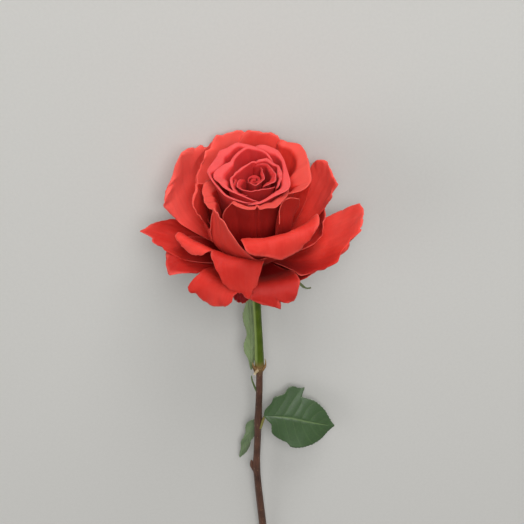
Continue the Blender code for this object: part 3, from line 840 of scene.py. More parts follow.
@dataclass(frozen=True)
class Petal(Blade):
    """One petal: where it stands, the path its middle follows (radius, height) and how it curls.

    The cup says how closely the blade follows the bloom's round at its foot, middle and crown. It bends
    square to its midline (level 0) or horizontally (level 1). A roll bends one side back and the skew
    turns the crown, both in degrees, and the offset moves it sideways in millimetres. The claw is the
    foot's share of the width, and the square is the power of the crown's outline.

    The edge is a row of stations round the margin, in degrees from the middle of the crown, each with
    the share of the plain outline that the blade reaches there. The rim says how far the margin shows
    its paler colour, which is painted light. A span is the part of the length over which something starts.
    """

    name: str
    azimuth: float
    width: float
    path: tuple
    cup: tuple = (1.0, 1.0, 1.0)
    level: float = 0.0
    roll_left: float = 0.0
    roll_right: float = 0.0
    roll_from: float = 0.45
    skew: float = 0.0
    offset: float = 0.0
    widest: float = 0.6
    claw: float = 0.24
    square: float = 2.6
    ruffle: float = 0.8
    ragged: float = 0.02
    edge: tuple = ()
    curl: float = 0.5
    crease: float = 0.09
    rim: float = 1.0
    roll_span: tuple = (0.35, 0.75)
    offset_span: tuple = (0.0, 0.6)
    ruffle_span: tuple = (0.3, 0.8)
    curl_span: tuple = (0.45, 0.75)
    crease_span: tuple = (0.15, 0.65)

    def midline(self) -> tuple[Array, Array, Array, Array, float]:
        """Follow the petal's path.

        Returns:
            Shares of the length, with radius, height and lean there, and the length.
        """
        points = np.array(self.path, float)
        run = np.append(0.0, np.cumsum(np.hypot(*np.diff(points, axis=0).T)))
        length = run[-1]
        share = np.linspace(0.0, REACH, STATIONS)
        angle = np.arctan2(np.diff(points[:, 0]), np.diff(points[:, 1]))
        index = np.clip(np.searchsorted(run / length, share, side="right") - 1, 0, len(angle) - 1)
        kernel = np.hanning(2 * LEAN_SMOOTHING + 1)
        lean = np.pad(angle[index], LEAN_SMOOTHING, mode="edge")
        lean = np.convolve(lean, kernel / kernel.sum(), "valid")
        step = (share[1] - share[0]) * length
        radius, height = (start + np.append(0.0, np.cumsum((rate[1:] + rate[:-1]) * step / 2))
                          for start, rate in zip(points[0], (np.sin(lean), np.cos(lean))))
        return share, radius, height, lean, length

    def outline(self, u: Array, v: Array, length: float) -> tuple[Array, Array, Array, Array, Array, Array]:
        """Lay the square grid over the flat petal.

        Args:
            u: Across, from -1 to 1.
            v: Along, from 0 to 1.
            length: The midline's length.

        Returns:
            Places across and along in millimetres, the share across, the turn round the crown,
            how near the margin each point is, and the petal's six random phases.
        """
        lower = v < GRID_SPLIT
        rise = np.where(lower, v / GRID_SPLIT, 1.0)
        crown = np.where(lower, 0.0, (v - GRID_SPLIT) / (1.0 - GRID_SPLIT))
        x = u * np.sqrt(1.0 - crown ** 2 / 2.0)
        y = crown * np.sqrt(1.0 - u ** 2 / 2.0)
        across = np.clip(x / np.sqrt(np.maximum(1.0 - y ** 2, 1e-9)), -1.0, 1.0)
        share = np.where(lower, self.widest * rise, self.widest + (1.0 - self.widest) * y)
        grow = np.sin(0.5 * math.pi * np.clip(share / self.widest, 0.0, 1.0))
        top = (1.0 - np.clip(y, 0.0, 1.0) ** self.square) ** (1.0 / self.square)
        half = np.where(share < self.widest, self.claw + (1.0 - self.claw) * grow ** 1.3, top)
        turn = np.arctan2(x, y + 1e-6)
        phase, bites = self.draws(turn, spread=1.7, count=11, height=1.6)
        ripple = waves(turn, (0.25, 19, phase[2]), (0.2, 33, phase[3]), (0.16, 71, phase[4]))
        scale = self.ragged * (bites + ripple)
        near, hold = smooth_step(rise), smooth_step(rise) ** 2
        if self.edge:
            round_margin = np.where(lower, np.sign(u) * (180.0 - 90.0 * rise), np.degrees(turn))
            stations, scales = zip(*self.edge)
            scale = DRAWN_RAGGEDNESS * scale + np.interp(round_margin, stations, scales) - 1.0
            near = hold = smooth_step(3.0 * rise)
        margin = np.where(lower, np.abs(u) ** 3 * near, np.maximum(np.abs(u), crown) ** 3)
        change = scale * margin
        beyond = self.widest + (share - self.widest) * (1.0 + CROWN_STRETCH * change)
        along = np.where(share > self.widest, beyond, share) * length
        return across * half * self.width / 2.0 * (1.0 + change * hold), along, across, turn, margin, phase

    def points(self, u: Array, v: Array) -> Array:
        """Find the petal's middle surface, with the folds and the outward curl of a thin margin.

        Args:
            u: Across, from -1 to 1.
            v: Along, from 0 to 1.

        Returns:
            Places in the bloom's frame, in millimetres.
        """
        line, radius, height, lean, length = self.midline()
        a, s, across, turn, margin, phase = self.outline(u, v, length)
        if self.skew:
            pivot = length * SKEW_PIVOT
            c, d = math.cos(math.radians(self.skew)), math.sin(math.radians(self.skew))
            weight = smooth_step(s / length, end=SKEW_PIVOT)
            turned_a = a * c + (s - pivot) * d
            turned_s = pivot + (s - pivot) * c - a * d
            a, s = a + (turned_a - a) * weight, s + (turned_s - s) * weight
        t = np.clip(s / length, 0.0, REACH)
        azimuth = math.radians(self.azimuth)
        out = np.array([math.sin(azimuth), -math.cos(azimuth), 0.0])
        side = np.array([math.cos(azimuth), math.sin(azimuth), 0.0])
        tilt = np.interp(t, line, lean)[..., None]
        normal = (np.cos(tilt) * out - np.sin(tilt) * UP) * (1.0 - self.level) + out * self.level
        normal /= np.linalg.norm(normal, axis=-1)[..., None]
        at_radius = np.interp(t, line, radius)
        base = out * at_radius[..., None] + UP * np.interp(t, line, height)[..., None]
        curve = np.interp(t, [0.0, 0.5, 1.0], self.cup) / np.maximum(at_radius, LEAST_RADIUS)
        roll = np.radians(np.where(a > 0, self.roll_right, self.roll_left)) * smooth_step(t, *self.roll_span)
        b = np.zeros_like(a)
        n = np.zeros_like(a)
        for part in (np.arange(BEND_STEPS) + 0.5) / BEND_STEPS:
            rolled = roll * smooth_step(np.abs(across) * part, self.roll_from) ** 1.2
            bend = np.minimum(np.abs(a) * part * curve, MOST_BEND) - rolled
            b += np.cos(bend) * np.abs(a) / BEND_STEPS
            n += np.sin(bend) * np.abs(a) / BEND_STEPS
        b = b * np.sign(a) + self.offset * smooth_step(t, *self.offset_span)
        ruffle = waves(turn, (0.6, 4, phase[4]), (0.4, 9, phase[5]), (0.25, 17, phase[0]))
        folds = waves(a, (1.0, 0.55, phase[1] + 1.3 * t), (0.6, 1.15, phase[2] - 2.0 * t),
                      (0.4, 2.1, phase[3]))
        push = self.ruffle * ruffle * margin ** 1.2 * smooth_step(t, *self.ruffle_span) - n
        push = push + self.curl * margin ** 4 * smooth_step(t, *self.curl_span)
        push = push + self.crease * folds * smooth_step(t, *self.crease_span)
        return base + side * b[..., None] + normal * push[..., None]

    def margin(self, u: Array, v: Array) -> Array:
        """Say how far each point shows the margin's colour, which is painted light."""
        return self.rim * self.outline(u, v, 1.0)[4]


@dataclass(frozen=True)
class Wrap(Blade):
    """One petal of the closed middle, set out by its rim and hung from it down to the root.

    The rim is a row of places: azimuth and radius round the bud's middle, height, and lip. The lip is
    the length of blade past the wall. It bends outwards by the stated angle, less than a right angle,
    and then runs straight for its flat share; its highest line runs through the rim's places. The
    margin's colour starts at lip_from along the blade, and side_rim is its share on the sides.
    """

    name: str
    rim: tuple
    roll: float = 75.0
    flat: float = 0.45
    swell_at: tuple = (0.0, 0.2, 0.5, 0.8, 1.0)
    swell: tuple = (0.0, 0.42, 0.72, 0.88, 1.0)
    root: float = 1.5
    narrow: float = 0.95
    ruffle: float = 0.25
    ragged: float = 0.3
    centre: tuple = BUD_MIDDLE
    lip_share: float = 0.24
    lip_from: float = 0.7
    lip_reach: float = 0.18
    side_rim: float = 0.85
    side_span: tuple = (0.6, 0.9)
    ruffle_span: tuple = (0.45, 0.95)
    narrow_to: float = 0.6
    drift_to: float = 0.7

    def rim_line(self, u: Array) -> tuple[Array, Array, Array, Array]:
        """Follow the rim by its own length.

        Args:
            u: Across, from -1 to 1.

        Returns:
            Azimuth in degrees, radius, height and lip there.
        """
        line = rounded_route(self.rim, STATIONS)
        angle = np.radians(line[:, 0])
        places = np.stack([line[:, 1] * np.sin(angle), line[:, 1] * np.cos(angle), line[:, 2]], -1)
        run = np.append(0.0, np.cumsum(np.linalg.norm(np.diff(places, axis=0), axis=1)))
        share = (u + 1.0) / 2.0 * run[-1]
        return tuple(np.interp(share, run, column) for column in line.T)

    def points(self, u: Array, v: Array) -> Array:
        """Find the petal's middle surface.

        Args:
            u: Across, from -1 to 1.
            v: Along, from root to rim, 0 to 1.

        Returns:
            Places in the bloom's frame, in millimetres.
        """
        azimuth, radius, height, lip = self.rim_line(u)
        phase, bites = self.draws(u, spread=1.0, count=13, height=1.0)
        height = height + self.ragged * (bites + waves(u, (0.3, 23, phase[0])))
        lip = np.maximum(lip * (1.0 + waves(u, (0.2, 7, phase[1])) + 0.15 * bites), LEAST_LIP)
        full = math.radians(self.roll)
        straight = lip * self.flat
        bend = (lip - straight) / full
        wall_radius = radius - bend * (1.0 - math.cos(full)) - straight * math.sin(full)
        wall_height = height - bend * math.sin(full) - straight * math.cos(full)
        wall_share = 1.0 - self.lip_share
        up = np.clip(v / wall_share, 0.0, 1.0)
        grow = rounded_interp(up, self.swell_at, self.swell)
        base = np.interp(up, self.swell_at, (self.root, self.root + 0.5, self.root, 0.0, 0.0))
        along = np.clip((v - wall_share) / self.lip_share, 0.0, 1.0) * lip
        turned = np.minimum(along / bend, full)
        beyond = np.maximum(along - (lip - straight), 0.0)
        away = base + wall_radius * grow + bend * (1.0 - np.cos(turned)) + beyond * math.sin(full)
        wave = waves(u, (1.0, 5, phase[2]), (0.6, 11, phase[3]), (0.3, 19, phase[4]))
        away = away + self.ruffle * wave * smooth_step(v, *self.ruffle_span)
        high = wall_height * up + bend * np.sin(turned) + beyond * math.cos(full)
        middle = 0.5 * (self.rim[0][0] + self.rim[-1][0])
        width = self.narrow + (1.0 - self.narrow) * smooth_step(v, end=self.narrow_to)
        angle = np.radians(middle + (azimuth - middle) * width)
        drift = smooth_step(v, end=self.drift_to)
        return np.stack([self.centre[0] * drift + away * np.sin(angle),
                         self.centre[1] * drift - away * np.cos(angle), high], -1)

    def margin(self, u: Array, v: Array) -> Array:
        """Say how far each point shows the margin's colour, painted light over the lip and the sides."""
        return np.maximum(self.side_rim * np.abs(u) ** 6 * smooth_step(v, *self.side_span),
                          smooth_step(v, self.lip_from, self.lip_from + self.lip_reach))


@dataclass
class Bloom:
    """The open flower: a closed middle, the petals opened round it and the receptacle under them."""

    wall: float = 0.32
    floor_gap: float = 0.05
    columns: int = 56
    rows: int = 52
    core_petals: int = 4
    core_stations: int = 5
    core_turn: float = 75.0
    core_radius: float = 0.5
    core_gap: float = 0.75
    core_spiral: float = 0.12
    core_top: float = 47.2
    core_rise: float = 0.2
    core_lip: float = 0.7
    receptacle_grid: tuple = (24, 24)
    receptacle: tuple = ((RECEPTACLE_BOTTOM, 5.0), (1.0, 6.4), (5.0, 6.6), (9.0, 5.0), (16.0, 3.0),
                         (30.0, 2.4), (41.0, 1.2))

    def core(self) -> list[Wrap]:
        """Set out the very middle's petals, each turned by the golden angle and a little wider.

        Returns:
            The petals.
        """
        petals = []
        for index in range(self.core_petals):
            rim = tuple((GOLDEN_ANGLE * index + self.core_turn * step,
                         self.core_radius + self.core_gap * index + self.core_spiral * step,
                         self.core_top + self.core_rise * index, self.core_lip)
                        for step in range(self.core_stations))
            # Core petals get painted shade for the depth of the bud's middle
            petals.append(Wrap(f"core_{index}", rim, ruffle=0.1, ragged=0.15, tone=-0.4, lip_from=0.93,
                               seed=index, centre=CORE_MIDDLE))
        return petals

    def wraps(self) -> list[Wrap]:
        """Set out the petals wrapped round the core, from the inside outwards.

        Returns:
            The petals.
        """
        # A petal's shading value is painted shade where below 0 and painted light where above 0
        return [
            Wrap("core_outer", ((-68, 3.2, 47, 0.8), (-31, 4.3, 48, 1.2), (1, 5, 48, 1.4), (18, 4.7, 48, 1.6),
                (44, 4.1, 48, 1.9), (74, 4.2, 48.2, 2.1), (108, 4.6, 48.4, 2.1), (137, 5.8, 48.4, 2),
                (153, 7.8, 48.2, 1.6), (166, 10.1, 47, 1)), lip_from=0.82, tone=-0.35, seed=11),
            Wrap("loop", ((-88, 5, 45.5, 1.2), (-85, 5.7, 47, 2.2), (-81, 7, 48, 3), (-73, 8.5, 48.2, 3.2),
                (-62, 9.5, 48.2, 3), (-51, 10.1, 48, 2.2), (-39, 10, 48, 1.6), (-25, 9.5, 48, 1.4),
                (-5, 9, 48, 1.3), (16, 8.8, 48, 1.2), (36, 9.5, 48, 1.2), (49, 10.4, 47.8, 1.1),
                (62, 10.8, 47, 0.9)), lip_from=0.82, tone=-0.35, seed=12),
            Wrap("inner_right", ((35, 7.4, 47.4, 0.8), (45, 7.9, 48.4, 1.6), (54, 8.6, 48.9, 2.8),
                (64, 9.6, 49, 3.8), (74, 10.1, 49, 4.2), (86, 10.1, 49, 4), (100, 10, 49, 3.2),
                (118, 10.1, 49, 2.4), (132, 10.2, 49, 1.8), (146, 10.3, 49, 1.5), (160, 9.8, 49, 1.3),
                (174, 8.9, 48.6, 1), (184, 9.3, 46.8, 0.8)), lip_from=0.82, tone=-0.35, seed=13),
            Wrap("inner_left", ((235, 9.6, 44.5, 0.8), (267, 9.2, 47, 1.2), (291, 10.4, 48.6, 1.6),
                (303, 11.7, 48.6, 1.6), (316, 12.7, 48.6, 1.3), (328, 12.8, 48, 1.1), (342, 11.4, 46.4, 0.8)),
                lip_from=0.82, tone=-0.4, seed=14),
            Wrap("middle_right", ((55, 12.7, 47.8, 1), (61, 13.2, 49.2, 1.6), (76, 12.6, 49.6, 2.1),
                (97, 12.7, 49.6, 2.3), (114, 13.3, 49.6, 2.1), (124, 13.3, 49.6, 1.8), (133, 12.9, 49.6, 2.2),
                (145, 13.3, 49.6, 1.9), (155, 13.4, 49.6, 1.7), (163, 11.8, 49.6, 1.5),
                (175, 10.5, 49.2, 1.3), (182, 10.9, 47.6, 1)), tone=-0.15, seed=15),
            Wrap("middle_left", ((168, 11.5, 47, 0.8), (174, 10.4, 48.8, 1), (186, 10.2, 49.5, 1.0),
                (201, 9, 49.5, 1.0), (228, 8.1, 49.5, 1.1), (250, 8.8, 49.5, 1.2), (267, 10.1, 49.5, 1.4),
                (281, 11.5, 49.5, 1.7), (292, 12.3, 49.5, 1.9), (305, 13.2, 49.4, 1.6), (317, 13.9, 49, 1.4),
                (326, 13, 47.6, 1)), tone=-0.15, seed=16),
            Wrap("wrap_left", ((145, 15, 46.4, 1), (146, 14.4, 49.2, 1.5), (155, 15.3, 50.3, 1.3),
                (164, 16.9, 50.5, 1.4), (174, 18.3, 50.6, 1.5), (183, 19.5, 50.6, 1.6),
                (189, 20.7, 50.6, 1.6), (195, 20.1, 50.6, 1.7), (203, 18.6, 50.6, 1.8),
                (213, 16.8, 50.6, 2.0), (222, 15.6, 50.5, 2.3), (233, 14.6, 50.4, 3.4),
                (239, 15.7, 50.4, 5.4), (253, 17, 50.4, 7), (263, 18.6, 50.4, 7.4), (273, 19, 50.4, 7.4),
                (281, 18.4, 50.4, 6.4), (290, 17, 50.4, 4), (302, 16.6, 50.4, 2.4), (314, 16.3, 50.4, 1.9),
                (327, 15.9, 50.3, 1.7), (340, 15.9, 50.2, 1.6), (351, 16.5, 49.8, 1.4),
                (359, 16.6, 48.8, 1.2), (366, 14.8, 46.6, 1)), flat=0.6, narrow=1.0, tone=-0.04, seed=17),
            Wrap("wrap_back", ((170, 21.8, 46.8, 1.2), (174, 19.7, 49.4, 1.8), (180, 19.6, 50.4, 2.2),
                (186, 20.7, 50.7, 2.6), (195, 22.5, 50.8, 3.4), (200, 24, 50.9, 3.8), (207, 23.7, 50.9, 4.2),
                (217, 22.6, 50.9, 4.8), (226, 23.3, 50.9, 5.2), (236, 21.9, 50.8, 5.2), (248, 21.5, 50.8, 5),
                (259, 22.2, 50.7, 4.4), (265, 22.3, 50.6, 3), (273, 20.9, 50.6, 1.8), (283, 19.7, 50.6, 1.6),
                (295, 19.1, 50.5, 1.8), (307, 19.3, 50.4, 1.6), (320, 19.8, 50.4, 1.5),
                (332, 19.7, 50.2, 1.5), (341, 19.3, 49.8, 1.4), (350, 18.2, 48.6, 1.2), (357, 15.9, 46.4, 1)),
                roll=65, flat=0.6, tone=-0.04, seed=18),
            Wrap("wrap_right", ((-12, 17.7, 46.6, 1.2), (-4, 19.9, 49, 1.9), (3, 20.7, 50.1, 2.6),
                (9, 20, 50.4, 3.2), (18, 18.9, 50.5, 3.6), (27, 18.2, 50.6, 4), (36, 17.8, 50.6, 4.4),
                (45, 18, 50.6, 4.6), (55, 18.4, 50.6, 4.6), (65, 17.9, 50.6, 4.4), (75, 17, 50.6, 4.2),
                (89, 15.7, 50.6, 2.8), (106, 15.6, 50.6, 2.4), (122, 16.7, 50.6, 2.6), (136, 18.7, 50.6, 3.2),
                (145, 20.3, 50.6, 3.8), (152, 20.6, 50.6, 4), (160, 20.9, 50.6, 3.8), (168, 21.3, 50.5, 3),
                (176, 20.9, 50, 2.2), (181, 21, 48.8, 1.6), (185, 22.2, 46.4, 1)), flat=0.6, seed=19),
        ]

    def inner_ring(self) -> list[Wrap | Petal]:
        """Set out the petals that have just opened round the bud, with broad rolled lips.

        Returns:
            The petals.
        """
        # A petal's shading value is painted shade where below 0 and painted light where above 0
        return [
            Wrap("front_lip", ((-39, 23.4, 38.5, 0.8), (-37, 23.7, 42.8, 1.2), (-34, 23.1, 46.2, 1.7),
                (-30, 22.6, 48.6, 2), (-27, 22.3, 50.4, 2.3), (-22, 22.8, 50, 3), (-16, 23, 49.8, 3.6),
                (-10, 23, 49.7, 4), (-3, 22.9, 49.5, 4.4), (1, 22.8, 49.4, 4.6), (3, 21.3, 49.8, 3.6),
                (5, 22.4, 49.6, 4.2), (7, 23.1, 49.2, 4.8), (12, 22.6, 49, 5.4), (19, 22.6, 48.6, 6),
                (25, 22.5, 48.2, 6), (32, 21.4, 48.2, 5.6), (41, 20.2, 48, 5), (51, 19.1, 47.6, 4),
                (64, 17.3, 46.6, 3), (83, 15.5, 44.5, 1.5)), roll=88, tone=-0.68, seed=31),
            Wrap("right_front", ((28, 24.2, 38.5, 0.3), (31, 22.0, 41.6, 0.4), (36, 20.2, 44, 0.7),
                (44, 19, 45.4, 1.2), (54, 19.6, 45.7, 1.5), (61, 21, 45, 0.9), (67, 22, 43, 0.6),
                (72, 22.2, 39, 0.5), (77, 21.2, 34, 0.4)), tone=-0.4, side_rim=0.0, seed=32),
            Wrap("left_inner", ((-93, 17.2, 44, 1.8), (-93, 19.5, 46, 4.1), (-90, 21.5, 46.4, 6.9),
                (-87, 23.1, 46.4, 8.5), (-81, 24.3, 46.2, 8.7), (-74, 25.2, 46, 8.7), (-65, 25.9, 45.8, 8.3),
                (-57, 26.6, 45.6, 7.4), (-51, 26.8, 45.2, 5.5), (-48, 26, 44.4, 3.7), (-46, 25.1, 42, 2.1),
                (-44, 24.7, 38.5, 1.1)), roll=66, flat=0.6, ragged=0.6, tone=-0.55, seed=33),
            Wrap("left_outer", ((-101, 20.9, 44, 1.2), (-93, 22.8, 45, 1.6), (-89, 25.5, 45.2, 1.9),
                (-88, 27.7, 45.2, 2), (-81, 27.9, 45, 1.7), (-73, 29.3, 44.4, 1.4), (-67, 31.0, 43.2, 1.1),
                (-63, 30.6, 40.2, 0.6), (-58, 29.0, 36.0, 0.4)), ragged=0.8, side_rim=0.0, tone=-0.4,
                seed=34),
            Wrap("right_lip", ((59, 16.7, 44.6, 2.2), (62, 18.3, 46.2, 4.8), (66, 20.7, 46.8, 8.7),
                (72, 22.9, 47, 10.7), (78, 24.6, 47, 11.9), (86, 25.7, 47, 12.2), (95, 26.4, 47, 12.2),
                (105, 27.3, 47, 11.9), (116, 28.7, 47, 11.3), (126, 30.4, 47, 10.4), (134, 32.4, 47, 9),
                (139, 33.4, 47, 7.5), (145, 32.5, 47, 4.8), (151, 31.8, 46.9, 3.8), (157, 32.1, 46.4, 3.1),
                (160, 33.4, 44.8, 2.4), (162, 34.3, 42, 1.7)), roll=62, flat=0.65, press=3.0, tone=-0.1,
                seed=35),
            Petal("left_middle", -106, 36, ((4, 0), (14, 7), (20, 19), (22.5, 26), (24, 31)), level=0.6,
                rim=0.0, claw=0.28, widest=0.66, tone=-0.35, seed=36),
            Petal("front_point", -50, 34, ((4, 0), (15, 7), (23, 18), (25.5, 30), (25.5, 45.2)),
                cup=(1, 0.8, 0.3), roll_left=25, roll_from=0.3, widest=0.42, square=1.05, tone=-0.1, seed=37,
                edge=((-52, 0.65), (-36, 0.73), (-19, 0.81), (-16, 0.9), (-12, 0.96), (4, 1.01), (37, 1.09),
                      (57, 1.31), (66, 1.39), (80, 1.4))),
        ]

    def outer_ring(self) -> list[Petal]:
        """Set out the wide petals behind and beside the bud, and the folded and drooping ones in front.

        Returns:
            The petals.
        """
        # A petal's shading value is painted shade where below 0 and painted light where above 0
        return [
            Petal("back_right", 146, 37, ((4, 0), (18, 10), (27, 24), (31, 36), (34.5, 42)),
                cup=(1, 0.95, 0.9), level=0.3, square=3, ragged=0.03, press=2.0, seed=39,
                edge=((-180, 0.7), (-60, 0.72), (-20, 0.85), (10, 1.0))),
            Petal("back_left", -156, 40, ((4, 0), (18, 10), (27, 24), (32, 38), (35, 52)), cup=(1, 0.9, 0.8),
                level=0.3, square=3.2, ragged=0.03, press=3.0, tone=0.48, seed=40,
                edge=((-16, 0.93), (-11, 0.96), (-1, 0.97), (2, 0.97), (5, 0.97), (11, 0.93), (18, 0.89),
                      (28, 0.92), (44, 0.89), (60, 0.95), (90, 1.2), (150, 1.2))),
            Petal("back", -178, 36, ((4, 0), (18, 10), (27, 24), (32, 37), (35.5, 49.5)), cup=(1, 0.9, 0.8),
                level=0.3, square=3.2, ragged=0.03, press=4.6, tone=0.15, seed=41,
                edge=((-32, 0.95), (-23, 0.99), (-4, 0.99), (0, 1.01), (2, 1.02), (5, 1.0), (11, 0.94),
                      (18, 0.86))),
            Petal("right_tall", 117, 31, ((4, 0), (18, 8), (30, 20), (36, 33), (39.5, 44)), cup=(1, 0.9, 0.6),
                level=0.3, skew=-10, widest=0.7, square=3.0, roll_right=12, press=2.0,
                edge=((-97, 0.4), (-60, 0.42), (-39, 0.5), (-30, 0.62), (-21, 0.8), (-18, 0.93), (-3, 0.86),
                      (3, 0.9), (15, 0.92), (35, 0.92), (47, 0.92), (66, 0.96), (77, 0.9), (110, 1.2),
                      (150, 1.6)), tone=0.3, seed=42),
            Petal("right_under", 99, 22, ((4, 0), (16, 5), (25, 11), (30, 16), (32.5, 23.5)), level=0.3,
                press=1.5, tone=-0.6, seed=55),
            Petal("left_tall", -121, 42, ((4, 0), (22, 6), (36, 16), (41, 29), (40, 42)), cup=(1, 0.7, 0.5),
                level=0.2, skew=3, widest=0.7, square=4.6, roll_left=10, roll_right=15, press=2.0, tone=0.62,
                painted_shade_spots=((-0.6, 0.3, 0.6, 0.3, -0.55),), seed=43,
                edge=((-180, 1.0), (-120, 1.3), (-90, 1.5), (-55, 1.38), (-38, 1.06), (-28, 0.97), (-22, 1.0),
                      (-9, 1.0), (-2, 1.1), (0, 1.16), (2, 1.0), (5, 0.92), (21, 0.83), (47, 0.89),
                      (67, 0.93), (89, 0.83), (98, 0.75), (108, 0.77))),
            Petal("right_front_lip", 23, 39, ((4, 0), (16, 9), (23, 22), (27, 35), (28.5, 41), (31, 40.5),
                (34, 31)), cup=(1, 0.8, 0.4), skew=-12, tone=-0.2, seed=44,
                edge=((-180, 0.7), (-70, 0.72), (-58, 0.84), (-51, 1.0), (-45, 1.04), (-32, 0.98),
                      (-18, 0.96), (-5, 0.96), (1, 0.99), (25, 0.98), (35, 0.94), (47, 0.95), (60, 0.98),
                      (69, 1.06), (75, 1.11))),
            Petal("left_front_lip", -36, 23, ((4, 0), (14, 4), (22, 12.5), (26, 20), (28, 23.2), (30.5, 22.2),
                (32, 18)), cup=(0.8, 0.4, 0.1), square=2.0, offset=-15, ruffle=0.35, tone=0.1, seed=45,
                edge=((-68, 1.04), (-59, 1.08), (-56, 1.12), (-41, 1.03), (-23, 0.98), (23, 0.98), (37, 1.02),
                      (49, 0.98), (60, 1.0), (80, 1.1))),
            Petal("right_spread", 79, 50, ((4, 0), (20, 4), (34, 10), (43, 18), (50, 26)), cup=(1, 0.7, 0.3),
                square=2.5, roll_left=25, roll_from=0.1, tone=0.2, painted_shade_spots=((-0.7, 0.4, 0.6, 0.4, -0.75),),
                seed=46,
                edge=((-150, 0.9), (-125, 0.9), (-112, 1.05), (-106, 0.8), (-98, 0.54), (-60, 0.46),
                      (-40, 0.43), (-28, 0.47), (-20, 0.58), (-14, 0.7), (-10, 0.77), (-6, 0.785), (-1, 0.77),
                      (1, 0.95), (2, 0.98), (4, 0.93), (8, 0.98), (17, 1.02), (33, 1.05), (42, 1.07),
                      (54, 0.97), (72, 0.91), (96, 0.82), (103, 0.77))),
            Petal("right_low", 57, 30, ((4, 0), (17, 1), (26, 4), (32, 7), (36, 7.5)), cup=(1, 0.7, 0.3),
                square=3.0, tone=-0.6, seed=56,
                edge=((-180, 0.3), (-120, 0.35), (-60, 0.7), (-26, 0.78), (-9, 0.85), (1, 0.92), (16, 1.01),
                      (26, 1.1), (31, 1.2))),
            Petal("left_spread", -88, 34, ((4, 0), (20, 3), (33, 8), (43, 13), (53, 17)), cup=(1, 0.7, 0.3),
                claw=0.28, square=1.9, tone=-0.42, seed=47,
                edge=((-74, 0.86), (-67, 0.91), (-50, 0.93), (-34, 0.98), (-14, 1.02), (1, 1.09), (4, 1.04),
                      (8, 0.97), (11, 0.94), (22, 0.95), (27, 0.9), (28, 0.82), (38, 0.78))),
            Petal("left_low", -71, 31, ((4, 0), (20, 3), (34, 9), (41, 12), (46, 11.5)), cup=(1, 0.7, 0.3),
                square=4.2, tone=-0.55, seed=48,
                edge=((-6, 0.91), (-3, 0.95), (0, 0.98), (1, 1.01), (8, 1.03), (17, 1.05), (27, 0.93),
                      (43, 0.71), (83, 0.74), (105, 0.88))),
            Petal("front_drop", -16, 29, ((4, 0), (15, 7), (23, 17), (27, 25), (30, 24.5), (34, 16), (37, 5)),
                cup=(1, 0.5, 0.2), square=1.8, skew=12, tone=-0.27, seed=49,
                edge=((-94, 0.94), (-84, 0.83), (-63, 0.79), (-44, 0.83), (-25, 0.86), (-3, 0.88), (17, 0.95),
                      (30, 0.87), (53, 0.79), (78, 0.78))),
            Petal("left_drop", -33, 31, ((4, -1), (18, 2), (28, 8), (33, 11), (37, 8), (40, 0)),
                cup=(1, 0.5, 0.2), claw=0.28, tone=-0.22, seed=50,
                edge=((-54, 0.65), (-51, 0.73), (-46, 1.03), (-40, 1.03), (-28, 0.98), (-18, 0.98),
                      (-9, 0.99), (0, 0.99), (12, 0.96), (31, 0.93), (45, 0.88), (50, 0.79))),
            Petal("right_drop", 7, 34, ((4, -1), (18, 3), (27, 10), (32, 13.5), (36, 11), (38.5, 4)),
                cup=(1, 0.5, 0.2), square=3, tone=-0.5, seed=51,
                edge=((-22, 0.7), (-19, 0.87), (-8, 0.92), (0, 0.96), (7, 1.02), (11, 1.06), (13, 0.87),
                      (15, 0.94), (22, 0.98), (32, 1.02), (43, 0.98), (57, 0.96), (69, 0.97), (84, 0.89))),
            # Under the bloom: this petal is painted in the deepest painted shade
            Petal("under_front", -26, 15, ((4, -1), (12, -2), (18, -4.5), (21.5, -8), (22.5, -12)),
                cup=(1, 0.7, 0.3), square=1.8, ruffle=1.4, crease=0.5, tone=-1.0, seed=57),
            Petal("behind_left", -154, 34, ((4, -1), (18, 2), (28, 10), (38, 24), (46, 40)),
                cup=(1, 0.7, 0.5), press=0.2, tone=0.4, seed=52),
            Petal("behind_right", 160, 28, ((4, -1), (18, 2), (28, 10), (37, 24), (44, 38)),
                cup=(1, 0.7, 0.5), press=0.2, seed=53),
            Petal("behind", 178, 38, ((4, -1), (16, 1), (24, 10), (33, 22), (41, 38)), cup=(1, 0.7, 0.5),
                press=1.3, seed=54),
        ]

    def build(self) -> list[Any]:
        """Build every petal and the receptacle.

        Returns:
            The new pieces.
        """
        bud = PetalFinish("bud_petal", "#cf3836", "#c22b2d", "#cb3a39", "#d65756").materials()
        opened = PetalFinish("open_petal", "#d93e33", "#c7271d", "#d43b31", "#de584e").materials()
        clearance = self.wall / 2.0 + self.floor_gap
        pieces = []
        for petals, materials in ((self.core() + self.wraps(), bud),
                                  (self.inner_ring() + self.outer_ring(), opened)):
            for petal in petals:
                work = petal.sheet(self.columns, self.rows, clearance)
                pieces.append(finished_piece(
                    f"petal_{petal.name}", work, materials, "bloom", self.wall))
        pieces.append(self._receptacle())
        return pieces

    def _receptacle(self) -> Any:
        """Build the fleshy cone that the petals grow from.

        Returns:
            The new piece.
        """
        heights, radii = np.array(self.receptacle).T
        route = to_floor(heights[:, None] * UP)
        finish = StemFinish("receptacle_flesh", "#8f8a4e", "#6f7a3c", "#c8b27a", pores=0.0)
        work = tube_mesh(*self.receptacle_grid, route, tapered(radii))
        return finished_piece("receptacle", work, [finish.material()], "bloom")


